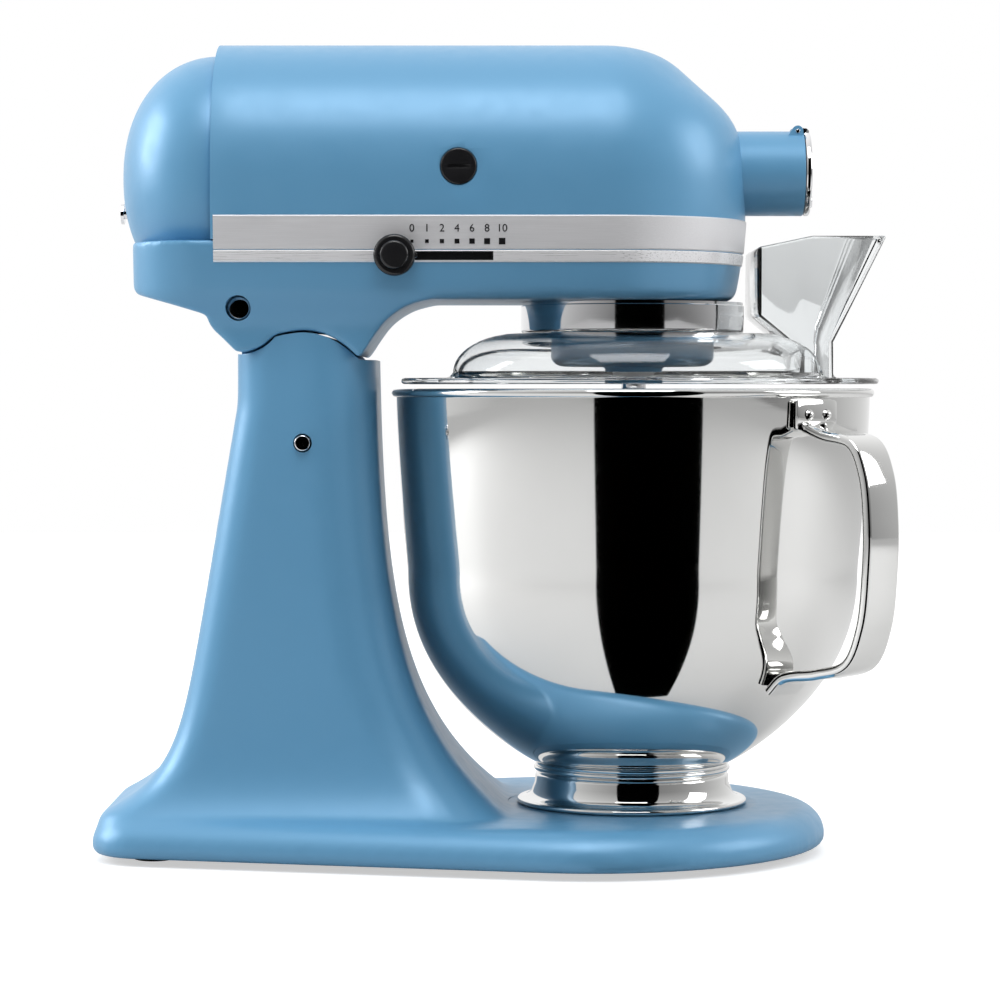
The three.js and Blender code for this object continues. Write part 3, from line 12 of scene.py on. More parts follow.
import bmesh
import bpy
import numpy as np
from mathutils import Matrix, Vector


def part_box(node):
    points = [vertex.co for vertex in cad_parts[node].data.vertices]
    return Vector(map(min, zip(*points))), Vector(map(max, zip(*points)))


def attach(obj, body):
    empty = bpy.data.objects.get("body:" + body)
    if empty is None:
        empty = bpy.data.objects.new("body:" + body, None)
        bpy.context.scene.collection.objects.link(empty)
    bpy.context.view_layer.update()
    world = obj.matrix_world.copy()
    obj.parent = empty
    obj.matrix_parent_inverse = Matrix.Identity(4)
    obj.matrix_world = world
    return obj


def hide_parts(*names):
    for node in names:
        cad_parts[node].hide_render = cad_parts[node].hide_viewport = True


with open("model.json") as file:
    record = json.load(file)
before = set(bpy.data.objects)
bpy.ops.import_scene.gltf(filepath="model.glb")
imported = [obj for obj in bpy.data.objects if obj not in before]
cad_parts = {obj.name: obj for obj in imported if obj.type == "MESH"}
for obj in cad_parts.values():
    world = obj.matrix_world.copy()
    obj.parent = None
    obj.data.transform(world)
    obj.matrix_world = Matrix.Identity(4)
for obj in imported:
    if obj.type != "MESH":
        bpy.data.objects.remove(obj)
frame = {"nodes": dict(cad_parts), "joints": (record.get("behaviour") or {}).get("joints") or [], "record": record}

log = logging.getLogger("mixer")
MM = 0.001
Point2 = tuple[float, float]


# ------------------------------------------------------------------ the frame's own places
def middle(node: str) -> Vector:
    """Middle of a node's box."""
    low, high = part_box(node)
    return (low + high) / 2


def joint_place(name: str) -> Vector:
    """Where a joint's axis passes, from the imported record."""
    return Vector(next(j["pos_m"] for j in frame["joints"] if j["name"] == name))


@dataclass(frozen=True)
class Datum:
    """Places that every sub-assembly shares, measured from the frame about the mixing axis."""

    gap: float = 0.3 * MM
    shift: Vector = field(default_factory=lambda: Vector((
        middle("center_shaft").x, middle("center_shaft").y, 0,
    )))

    def low(self, node: str) -> Vector:
        """Lowest corner of a node, about the mixing axis."""
        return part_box(node)[0] - self.shift

    def high(self, node: str) -> Vector:
        """Highest corner of a node, about the mixing axis."""
        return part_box(node)[1] - self.shift

    def joint(self, name: str) -> Vector:
        """A joint's place, about the mixing axis."""
        return joint_place(name) - self.shift


D = Datum()
FOOT_LOW = D.low("bowl_foot").z
DECK = FOOT_LOW - D.gap
BOWL_LOW = D.low("bowl").z
RIM = D.high("bowl").z
SHIELD_LOW = D.low("pouring_shield").z
SHIELD_TOP = D.high("pouring_shield").z
HEAD_LOW = D.high("drip_ring").z + D.gap
HEAD_TOP = D.high("head_upper_housing").z
HUB_AXIS = D.joint("attachment_knob_turn").z
PIN = D.joint("head_tilt")
LOCK = D.joint("lock_turn")
SEAM = D.low("head_upper_housing").x
SPLIT = D.low("head_upper_housing").z


# ------------------------------------------------------------------ mesh tools
def linked(name: str, mesh: bpy.types.Mesh) -> bpy.types.Object:
    """Puts a mesh into the scene as a named object.

    Args:
        name: name of the object.
        mesh: mesh that it shows.

    Returns:
        The linked object.
    """
    made = bpy.data.objects.new(name, mesh)
    bpy.context.scene.collection.objects.link(made)
    return made


def from_faces(name: str, points: np.ndarray, faces: Iterable[Sequence[int]]) -> bpy.types.Object:
    """Object from points and faces, with doubles merged and faces turned outward.

    Args:
        name: the object's name.
        points: an array of x, y, z rows.
        faces: point numbers of each face.

    Returns:
        The new object.
    """
    mesh = bpy.data.meshes.new(name)
    mesh.from_pydata([tuple(p) for p in points], [], [tuple(f) for f in faces])
    work = bmesh.new()
    work.from_mesh(mesh)
    bmesh.ops.remove_doubles(work, verts=work.verts, dist=1e-6)
    bmesh.ops.recalc_face_normals(work, faces=work.faces)
    work.to_mesh(mesh)
    work.free()
    mesh.update()
    return linked(name, mesh)


def lofted(name: str, rings: np.ndarray, caps: bool = True, closed: bool = False) -> bpy.types.Object:
    """Skin over rings of equal length.

    Args:
        name: the object's name.
        rings: array of shape (rings, points, 3); each ring is a closed loop.
        caps: closes both ends with a face.
        closed: joins the last ring to the first.

    Returns:
        The new object.
    """
    count, around = rings.shape[:2]
    faces = []
    for k in range(count if closed else count - 1):
        here, there = k * around, ((k + 1) % count) * around
        for i in range(around):
            j = (i + 1) % around
            faces.append((here + i, here + j, there + j, there + i))
    if caps and not closed:
        faces.append(tuple(range(around))[::-1])
        faces.append(tuple(range((count - 1) * around, count * around)))
    return from_faces(name, rings.reshape(-1, 3), faces)


def turned(
    name: str, profile: Sequence[Point2], centre: Point2 = (0, 0), steps: int = 128,
) -> bpy.types.Object:
    """Body of revolution about +Z from radius and height pairs that close on the axis or on themselves.

    Args:
        name: name of the object.
        profile: radius and height pairs.
        centre: where the axis stands.
        steps: points round the axis.

    Returns:
        The turned body.
    """
    angles = np.arange(steps) * 2 * np.pi / steps
    rings = [
        np.stack([centre[0] + r * np.cos(angles), centre[1] + r * np.sin(angles), np.full(steps, z)], axis=1)
        for r, z in profile
    ]
    loop = abs(profile[0][0]) > 1e-9
    return lofted(name, np.array(rings), caps=False, closed=loop)


def pushed(
    name: str, outline: Sequence[Point2], low: float, high: float, plane: str = "xz",
) -> bpy.types.Object:
    """Outline in a plane, pushed from low to high along the third axis.

    Args:
        name: name of the object.
        outline: closed outline in the plane.
        low: first depth.
        high: second depth.
        plane: axes of the outline, as "xz", "xy" or "yz".

    Returns:
        The pushed body.
    """
    order = {"xz": (0, 2, 1), "xy": (0, 1, 2), "yz": (1, 2, 0)}[plane]
    rings = np.zeros((2, len(outline), 3))
    for k, depth in enumerate((low, high)):
        rings[k, :, order[0]] = [a for a, _ in outline]
        rings[k, :, order[1]] = [b for _, b in outline]
        rings[k, :, order[2]] = depth
    return lofted(name, rings)


def block(name: str, low: Sequence[float], high: Sequence[float]) -> bpy.types.Object:
    """Box between two corners, used as a cutting tool or before its edges are rounded."""
    corners = [(low[0], low[2]), (high[0], low[2]), (high[0], high[2]), (low[0], high[2])]
    return pushed(name, corners, low[1], high[1])


def moved(thing: bpy.types.Object, matrix: Matrix) -> bpy.types.Object:
    """Moves a mesh inside its object."""
    thing.data.transform(matrix)
    return thing


def along(thing: bpy.types.Object, axis: str, at: Sequence[float] = (0, 0, 0)) -> bpy.types.Object:
    """Turns a body made about +Z to lie along another axis, then moves its foot to a place.

    Args:
        thing: body that stands on z = 0.
        axis: "x", "y", "-y" or "z".
        at: where the middle of its foot goes.

    Returns:
        The same object.
    """
    turn = {
        "x": Matrix.Rotation(math.pi / 2, 4, "Y"),
        "y": Matrix.Rotation(-math.pi / 2, 4, "X"),
        "-y": Matrix.Rotation(math.pi / 2, 4, "X"),
        "z": Matrix.Identity(4),
    }[axis]
    return moved(thing, Matrix.Translation(Vector(at)) @ turn)


def rod_profile(radius: float, length: float, edge: float = 0.0) -> list[Point2]:
    """Lathe profile of a round rod that stands on z = 0, with chamfered ends.

    Args:
        radius: radius of the rod.
        length: length of the rod.
        edge: rounding of both ends.

    Returns:
        Radius and height pairs.
    """
    if not edge:
        return [(0, 0), (radius, 0), (radius, length), (0, length)]
    low = arc((radius - edge, edge), edge, -90, 0, 4)
    high = arc((radius - edge, length - edge), edge, 0, 90, 4)
    return [(0, 0), *low, *high, (0, length)]


def rod(
    name: str, axis: str, at: Sequence[float], radius: float, length: float, edge: float = 0.0,
    steps: int = 128,
) -> bpy.types.Object:
    """Round rod along an axis.

    Args:
        name: name of the object.
        axis: "x", "y", "-y" or "z".
        at: middle of the end that it starts from.
        radius: radius of the rod.
        length: length of the rod.
        edge: rounding of both ends.
        steps: points round the rod.

    Returns:
        The rod.
    """
    return along(turned(name, rod_profile(radius, length, edge), steps=steps), axis, at)


def plug(
    name: str, radius: float, low: float, high: float, centre: Point2 = (0, 0), steps: int = 128,
) -> bpy.types.Object:
    """Upright round plug between two heights, for cutting a round hole.

    Args:
        name: name of the object.
        radius: radius of the plug.
        low: lower height.
        high: upper height.
        centre: where the axis stands.
        steps: points round the plug.

    Returns:
        The plug.
    """
    return turned(name, [(0, low), (radius, low), (radius, high), (0, high)], centre, steps)


def settled(thing: bpy.types.Object) -> bpy.types.Object:
    """Replaces an object's mesh by what its modifiers make of it.

    Args:
        thing: object with modifiers.

    Returns:
        The same object without them.
    """
    graph = bpy.context.evaluated_depsgraph_get()
    mesh = bpy.data.meshes.new_from_object(thing.evaluated_get(graph))
    thing.modifiers.clear()
    thing.data = mesh
    return thing


def combined(thing: bpy.types.Object, tool: bpy.types.Object, operation: str) -> bpy.types.Object:
    """Boolean of two objects; the tool is used up.

    Args:
        thing: object that is changed.
        tool: closed object that changes it.
        operation: "UNION", "DIFFERENCE" or "INTERSECT".

    Returns:
        The changed object.
    """
    change = thing.modifiers.new("boolean", "BOOLEAN")
    change.operation = operation
    change.solver = "MANIFOLD"
    change.object = tool
    settled(thing)
    bpy.data.objects.remove(tool)
    return thing


def cut(thing: bpy.types.Object, *tools: bpy.types.Object) -> bpy.types.Object:
    """Takes each tool away from an object.

    Args:
        thing: object that is cut.
        *tools: closed bodies to take away.

    Returns:
        The cut object.
    """
    for tool in tools:
        combined(thing, tool, "DIFFERENCE")
    return thing


def fused(thing: bpy.types.Object, *others: bpy.types.Object) -> bpy.types.Object:
    """Joins other bodies to an object.

    Args:
        thing: object that grows.
        *others: closed bodies to add.

    Returns:
        The grown object.
    """
    for other in others:
        combined(thing, other, "UNION")
    return thing


def gathered(thing: bpy.types.Object, *others: bpy.types.Object) -> bpy.types.Object:
    """Puts several meshes into one object as they are.

    Args:
        thing: object that receives the meshes.
        *others: objects to put into it.

    Returns:
        The gathered object.
    """
    work = bmesh.new()
    for item in (thing, *others):
        work.from_mesh(item.data)
    work.to_mesh(thing.data)
    work.free()
    for other in others:
        bpy.data.objects.remove(other)
    return thing


def cast(thing: bpy.types.Object, cell: float, passes: int) -> bpy.types.Object:
    """Melts overlapping bodies into one skin and smooths it, as a cast piece is.

    Args:
        thing: the object with overlapping closed bodies.
        cell: size of the skin's cells.
        passes: how many times the skin is smoothed.

    Returns:
        The same object with the new skin.
    """
    melt = thing.modifiers.new("melt", "REMESH")
    melt.mode = "VOXEL"
    melt.voxel_size = cell
    smooth = thing.modifiers.new("smooth", "SMOOTH")
    smooth.factor = 0.5
    smooth.iterations = passes
    return settled(thing)


def eased(thing: bpy.types.Object, width: float, segments: int = 3, angle: float = 35) -> bpy.types.Object:
    """Rounds the sharp edges of an object.

    Args:
        thing: object to round.
        width: width of the rounding.
        segments: steps across the rounding.
        angle: sharpest turn that stays, in degrees.

    Returns:
        The rounded object.
    """
    bevel = thing.modifiers.new("bevel", "BEVEL")
    bevel.width = width
    bevel.segments = segments
    bevel.limit_method = "ANGLE"
    bevel.angle_limit = math.radians(angle)
    bevel.use_clamp_overlap = True
    return settled(thing)


def shaded(thing: bpy.types.Object, angle: float = 32) -> bpy.types.Object:
    """Smooth shading, with edges sharper than the angle kept crisp.

    Args:
        thing: object to shade.
        angle: sharpest smooth turn, in degrees.

    Returns:
        The same object.
    """
    for face in thing.data.polygons:
        face.use_smooth = True
    thing.data.set_sharp_from_angle(angle=math.radians(angle))
    return thing


def arc(centre: Point2, radius: float, start: float, end: float, steps: int = 8) -> list[Point2]:
    """Points round an arc; angles are in degrees."""
    turns = [math.radians(start + (end - start) * i / steps) for i in range(steps + 1)]
    return [(centre[0] + radius * math.cos(t), centre[1] + radius * math.sin(t)) for t in turns]


def curve_through(points: Sequence[Point2], steps: int) -> np.ndarray:
    """Smooth curve through points (centripetal Catmull-Rom), evenly spaced along its length.

    Args:
        points: the points it passes.
        steps: how many stretches the result has.

    Returns:
        Array of steps + 1 rows.
    """
    p = np.array(points, float)
    p = np.vstack([2 * p[0] - p[1], p, 2 * p[-1] - p[-2]])
    dense = []
    for k in range(1, len(p) - 2):
        a, b, c, d = p[k - 1 : k + 3]
        gaps = [max(1e-9, np.linalg.norm(v - u)) ** 0.5 for u, v in ((a, b), (b, c), (c, d))]
        tb = gaps[0]
        tc = tb + gaps[1]
        td = tc + gaps[2]
        for t in np.linspace(tb, tc, 24, endpoint=False):
            ab = a + (b - a) * t / tb
            bc = b + (c - b) * (t - tb) / (tc - tb)
            cd = c + (d - c) * (t - tc) / (td - tc)
            abc = ab + (bc - ab) * t / tc
            bcd = bc + (cd - bc) * (t - tb) / (td - tb)
            dense.append(abc + (bcd - abc) * (t - tb) / (tc - tb))
    dense.append(p[-2])
    line = np.array(dense)
    run = np.concatenate([[0], np.cumsum(np.linalg.norm(np.diff(line, axis=0), axis=1))])
    want = np.linspace(0, run[-1], steps + 1)
    return np.stack([np.interp(want, run, line[:, i]) for i in range(line.shape[1])], axis=1)


def hull_ring(
    circles: Sequence[tuple[float, float, float]], z: float, inset: float, steps: int,
) -> np.ndarray:
    """Tightest convex ring about circles (x, y, radius), drawn in by inset, at height z.

    Args:
        circles: centre and radius of each circle.
        z: height of the ring.
        inset: how far the ring is drawn in.
        steps: points round the ring.

    Returns:
        Points of the ring.
    """
    turns = (np.arange(steps) + 0.5) * 2 * np.pi / steps
    across = np.stack([np.cos(turns), np.sin(turns)], axis=1)
    table = np.array(circles, float)
    reach = across @ table[:, :2].T + table[:, 2]
    best = table[np.argmax(reach, axis=1)]
    flat = best[:, :2] + (best[:, 2:] - inset) * across
    return np.column_stack([flat, np.full(steps, z)])


# ------------------------------------------------------------------ finishes
class Wires:
    """Short-hand for building one material's nodes."""

    def __init__(self, name: str) -> None:
        """Starts an empty node material with a principled surface.

        Args:
            name: name of the material.
        """
        self.material = bpy.data.materials.new(name)
        self.material.use_nodes = True
        self.tree = self.material.node_tree
        self.surface = self.tree.nodes["Principled BSDF"]
        self.place = self.tree.nodes.new("ShaderNodeTexCoord").outputs["Object"]

    def set(self, **values: object) -> "Wires":
        """Sets surface sockets by name; underscores stand for spaces.

        Args:
            **values: a value for each socket.

        Returns:
            The same helper, for chaining.
        """
        for key, value in values.items():
            self.surface.inputs[key.replace("_", " ")].default_value = value
        return self

    def stretched(self, scale: Sequence[float]) -> bpy.types.NodeSocket:
        """Object coordinates, scaled along each axis.

        Args:
            scale: factor along each axis.

        Returns:
            The scaled coordinates.
        """
        node = self.tree.nodes.new("ShaderNodeMapping")
        node.inputs["Scale"].default_value = scale
        self.tree.links.new(self.place, node.inputs["Vector"])
        return node.outputs["Vector"]

    def noise(
        self, scale: float, detail: float = 3, vector: bpy.types.NodeSocket | None = None,
    ) -> bpy.types.NodeSocket:
        """Noise value at a scale in cells per metre.

        Args:
            scale: cells per metre.
            detail: octaves.
            vector: coordinates, or the object's own.

        Returns:
            The noise value.
        """
        node = self.tree.nodes.new("ShaderNodeTexNoise")
        node.inputs["Scale"].default_value = scale
        node.inputs["Detail"].default_value = detail
        self.tree.links.new(vector or self.place, node.inputs["Vector"])
        return node.outputs["Fac"]

    def ranged(self, value: bpy.types.NodeSocket, low: float, high: float) -> bpy.types.NodeSocket:
        """Maps a noise value onto a range.

        Args:
            value: noise value.
            low: result at its usual low end.
            high: result at its usual high end.

        Returns:
            The mapped value.
        """
        node = self.tree.nodes.new("ShaderNodeMapRange")
        node.inputs["From Min"].default_value = 0.3
        node.inputs["From Max"].default_value = 0.7
        node.inputs["To Min"].default_value = low
        node.inputs["To Max"].default_value = high
        self.tree.links.new(value, node.inputs["Value"])
        return node.outputs["Result"]

    def eye(self, other: float, seen: float) -> bpy.types.NodeSocket:
        """Value that camera rays see, and another for the rest of the light.

        Args:
            other: value for light and reflections.
            seen: value for camera rays.

        Returns:
            The chosen value.
        """
        node = self.tree.nodes.new("ShaderNodeMix")
        node.inputs["A"].default_value = other
        node.inputs["B"].default_value = seen
        self.tree.links.new(
            self.tree.nodes.new("ShaderNodeLightPath").outputs["Is Camera Ray"], node.inputs["Factor"],
        )
        return node.outputs["Result"]

    def tinted(self, value: bpy.types.NodeSocket, first: Sequence[float], second: Sequence[float]) -> "Wires":
        """Base colour that drifts between two tints.

        Args:
            value: value that drives the drift.
            first: tint at its low end.
            second: tint at its high end.

        Returns:
            The same helper, for chaining.
        """
        node = self.tree.nodes.new("ShaderNodeMix")
        node.data_type = "RGBA"
        node.inputs["A"].default_value = (*first, 1)
        node.inputs["B"].default_value = (*second, 1)
        self.tree.links.new(value, node.inputs["Factor"])
        self.tree.links.new(node.outputs["Result"], self.surface.inputs["Base Color"])
        return self

    def rough(self, value: bpy.types.NodeSocket, low: float, high: float) -> "Wires":
        """Roughness that drifts between two values."""
        self.tree.links.new(self.ranged(value, low, high), self.surface.inputs["Roughness"])
        return self

    def bumped(self, value: bpy.types.NodeSocket, strength: float, depth: float) -> "Wires":
        """Fine relief from a value.

        Args:
            value: height value.
            strength: share of the relief that shows.
            depth: depth of the relief in metres.

        Returns:
            The same helper, for chaining.
        """
        node = self.tree.nodes.new("ShaderNodeBump")
        node.inputs["Strength"].default_value = strength
        node.inputs["Distance"].default_value = depth
        self.tree.links.new(value, node.inputs["Height"])
        self.tree.links.new(node.outputs["Normal"], self.surface.inputs["Normal"])
        return self


@dataclass(frozen=True)
class Enamel:
    """Satin baked enamel: faint orange peel under a soft clear coat."""

    tint: tuple[float, float, float] = (0.105, 0.300, 0.500)
    light_tint: tuple[float, float, float] = (0.112, 0.315, 0.520)

    def material(self) -> bpy.types.Material:
        """Builds the material.

        Returns:
            The enamel.
        """
        wires = Wires("satin_enamel").set(Metallic=0.15, Coat_Weight=0.18, Coat_Roughness=0.25, IOR=1.5)
        wires.tinted(wires.noise(9, 2), self.tint, self.light_tint)
        wires.rough(wires.noise(140), 0.36, 0.44)
        return wires.bumped(wires.noise(1500, 1), 0.10, 0.00010).material


@dataclass(frozen=True)
class Polished:
    """Mirror-polished steel or chrome, with faint polishing marks."""

    name: str
    tint: tuple[float, float, float]
    low: float
    high: float

    def material(self) -> bpy.types.Material:
        """Builds the material.

        Returns:
            The polished metal.
        """
        wires = Wires(self.name).set(Metallic=1.0)
        darker = tuple(0.96 * c for c in self.tint)
        wires.tinted(wires.noise(30), self.tint, darker)
        return wires.rough(wires.noise(60, 4, wires.stretched((1, 1, 14))), self.low, self.high).material


@dataclass(frozen=True)
class Brushed:
    """Metal with fine lines across one axis."""

    name: str
    tint: tuple[float, float, float]
    roughness: float = 0.3
    lines: tuple[float, float, float] = (0.02, 1, 1)
    metal: float = 1.0

    def material(self) -> bpy.types.Material:
        """Builds the material.

        Returns:
            The brushed metal.
        """
        wires = Wires(self.name).set(Metallic=self.metal)
        grain = wires.noise(2600, 3, wires.stretched(self.lines))
        darker = tuple(0.86 * c for c in self.tint)
        wires.tinted(grain, darker, self.tint)
        wires.rough(grain, self.roughness - 0.06, self.roughness + 0.08)
        return wires.bumped(grain, 0.12, 0.00005).material


@dataclass(frozen=True)
class Moulded:
    """Moulded plastic or rubber with a fine grain."""

    name: str
    tint: tuple[float, float, float]
    roughness: float
    grain: float = 900

    def material(self) -> bpy.types.Material:
        """Builds the material.

        Returns:
            The moulded plastic or rubber.
        """
        wires = Wires(self.name).set(IOR=1.48)
        lighter = tuple(min(1.0, 1.25 * c + 0.004) for c in self.tint)
        wires.tinted(wires.noise(45), self.tint, lighter)
        wires.rough(wires.noise(220), self.roughness - 0.05, self.roughness + 0.05)
        return wires.bumped(wires.noise(self.grain, 2), 0.12, 0.00010).material


@dataclass(frozen=True)
class Clear:
    """Clear moulded plastic with a very faint haze."""

    tint: tuple[float, float, float] = (0.97, 0.985, 0.99)

    def material(self) -> bpy.types.Material:
        """Builds the material.

        Returns:
            The clear plastic.
        """
        wires = Wires("clear_plastic").set(Transmission_Weight=1.0, IOR=1.42)
        wires.tinted(wires.noise(12), self.tint, tuple(0.985 * c for c in self.tint))
        return wires.rough(wires.noise(70), 0.02, 0.05).material


class Finish(Enum):
    """Every finish on the mixer, by the record's slot that it belongs to."""

    ENAMEL = ("paint", Enamel())
    BOWL_STEEL = ("polished_steel", Polished("bowl_steel", (0.76, 0.76, 0.75), 0.035, 0.06))
    CHROME = ("chrome", Polished("bright_chrome", (0.80, 0.80, 0.81), 0.05, 0.09))
    TRIM = ("brushed_trim", Brushed("brushed_trim", (0.78, 0.78, 0.80), 0.40, metal=0.40))
    BRIGHT_TRIM = ("brushed_trim", Brushed("bright_trim", (0.90, 0.90, 0.92), 0.30, metal=0.35))
    CAST_METAL = ("cast_aluminium", Brushed("burnished_casting", (0.60, 0.61, 0.63), 0.36, (1, 1, 1)))
    STEEL = ("steel", Brushed("machined_steel", (0.42, 0.43, 0.45), 0.34, (0.1, 1, 1)))
    BRASS = ("brass", Brushed("machined_brass", (0.62, 0.45, 0.20), 0.32, (1, 0.1, 1)))
    COPPER = ("copper", Brushed("lacquered_copper", (0.50, 0.24, 0.12), 0.42, (0.1, 1, 1)))
    BLACK = ("black_plastic", Moulded("black_plastic", (0.008, 0.008, 0.009), 0.22))
    RUBBER = ("rubber", Moulded("foot_rubber", (0.03, 0.03, 0.03), 0.75, 1400))
    CLEAR = ("clear_plastic", Clear())

    @property
    def slot(self) -> str:
        """The record's material slot."""
        return self.value[0]

    def material(self) -> bpy.types.Material:
        """The finish's material, made once.

        Returns:
            The shared material.
        """
        if self.name not in MADE:
            MADE[self.name] = self.value[1].material()
        return MADE[self.name]


MADE: dict[str, bpy.types.Material] = {}


def shown(
    thing: bpy.types.Object,
    name: str,
    body: str,
    finish: Finish,
    stands_for: Sequence[str] = (),
    angle: float = 32,
) -> bpy.types.Object:
    """Dresses a finished piece, moves it into the frame and fastens it to its body.

    Args:
        thing: the piece, drawn about the mixing axis.
        name: the piece's name.
        body: the body that it moves with.
        finish: its finish.
        stands_for: frame nodes that it replaces.
        angle: edges sharper than this stay crisp.

    Returns:
        The piece.
    """
    thing.name = name
    thing.data.name = name
    thing.data.materials.clear()
    thing.data.materials.append(finish.material())
    moved(thing, Matrix.Translation(D.shift))
    shaded(thing, angle)
    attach(thing, body)
    if stands_for:
        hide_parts(*stands_for)
    log.info("%s: %d faces on %s", name, len(thing.data.polygons), body)
    return thing


# ------------------------------------------------------------------ head form
@dataclass(frozen=True)
class HeadForm:
    """Rounded loaf shape that the housings and the trim share."""

    half: float = D.high("head_upper_housing").y
    front: float = 50 * MM
    nose_centre: float = -13 * MM
    crown: float = 62 * MM
    keel: float = 112 * MM
    power: float = 2.2
    nose_fall: float = 0.09
    edge: float = 4.5 * MM

    @property
    def widest(self) -> float:
        """Height at which the head is widest."""
        return HEAD_TOP - self.crown

    def share(self, z: float, inset: float) -> float:
        """Share of the full width at a height.

        Args:
            z: height.
            inset: how far the form is drawn in.

        Returns:
            Share of the full width, from 0 to 1.
        """
        height = self.crown - inset if z > self.widest else self.keel
        level = min(1.0, abs(z - self.widest) / height)
        return (1 - level**self.power) ** (1 / self.power)

    def under(self, z: float) -> float:
        """Extra inset that rounds the lower edge."""
        low = HEAD_LOW + self.edge - z
        return self.edge - math.sqrt(max(0.0, self.edge**2 - low**2)) if low > 0 else 0.0

    def nose(self, z: float, inset: float, back: float, steps: int = 72) -> np.ndarray:
        """Open outline at a height: along one side from the back, round the nose and back again.

        Args:
            z: height.
            inset: how far the form is drawn in.
            back: x of its open end.
            steps: points along the outline.

        Returns:
            Points of the outline.
        """
        share = self.share(z, inset)
        half = (self.half - inset) * share - self.under(z)
        fall = self.nose_fall * math.exp(-(((max(
            0.0, z - self.widest,
        ) / (self.crown - inset) - 0.75) / 0.2) ** 2))
        reach = (self.front - self.nose_centre - inset) * (share - fall) - self.under(z)
        turns = np.linspace(-np.pi / 2, np.pi / 2, steps + 1)
        x = self.nose_centre + reach * np.cos(turns)
        y = half * np.sin(turns)
        straight = np.linspace(back, self.nose_centre, 14, endpoint=False)
        x = np.concatenate([straight, x, straight[::-1]])
        y = np.concatenate([np.full(14, -half), y, np.full(14, half)])
        return np.column_stack([x, y, np.full(len(x), z)])

    def body(self, name: str, low: float, high: float, inset: float, back: float) -> bpy.types.Object:
        """Closed head body between two heights.

        Args:
            name: name of the object.
            low: lower height.
            high: upper height.
            inset: how far the form is drawn in.
            back: x of the flat back end.

        Returns:
            The body.
        """
        crown = [
            self.widest + (self.crown - inset) * math.sin(math.pi / 2 * i / 26 * 0.985) ** (2 / self.power)
            for i in range(27)
        ]
        keel = [HEAD_LOW + self.edge * s for s in (0.04, 0.15, 0.3, 0.5, 0.75, 1, 1.6, 2.4, 4, 6, 8)]
        levels = [z for z in keel + crown if low + 0.2 * MM < z < high - 0.2 * MM]
        levels = [low, *levels, min(high, crown[-1])]
        return lofted(name, np.array([self.nose(z, inset, back) for z in levels]))


HEAD = HeadForm()


def parting(gap: float) -> list[Point2]:
    """Line between the head's cheeks and the column, back to front, moved down by gap.

    Args:
        gap: clearance below the cheeks.

    Returns:
        Points of the line.
    """
    radius = 18.6 * MM + gap
    rear = arc((PIN.x, PIN.z), radius, -100, -38, 20)
    dip = [(20.5, -10.1), (27, -9.4), (33.5, -10.1), (39.8, -12.4), (45.5, -16), (51, -21)]
    front = curve_through([rear[-1]] + [(PIN.x + x * MM, PIN.z + z * MM - gap) for x, z in dip], 28)
    return rear + [tuple(p) for p in front[1:]]


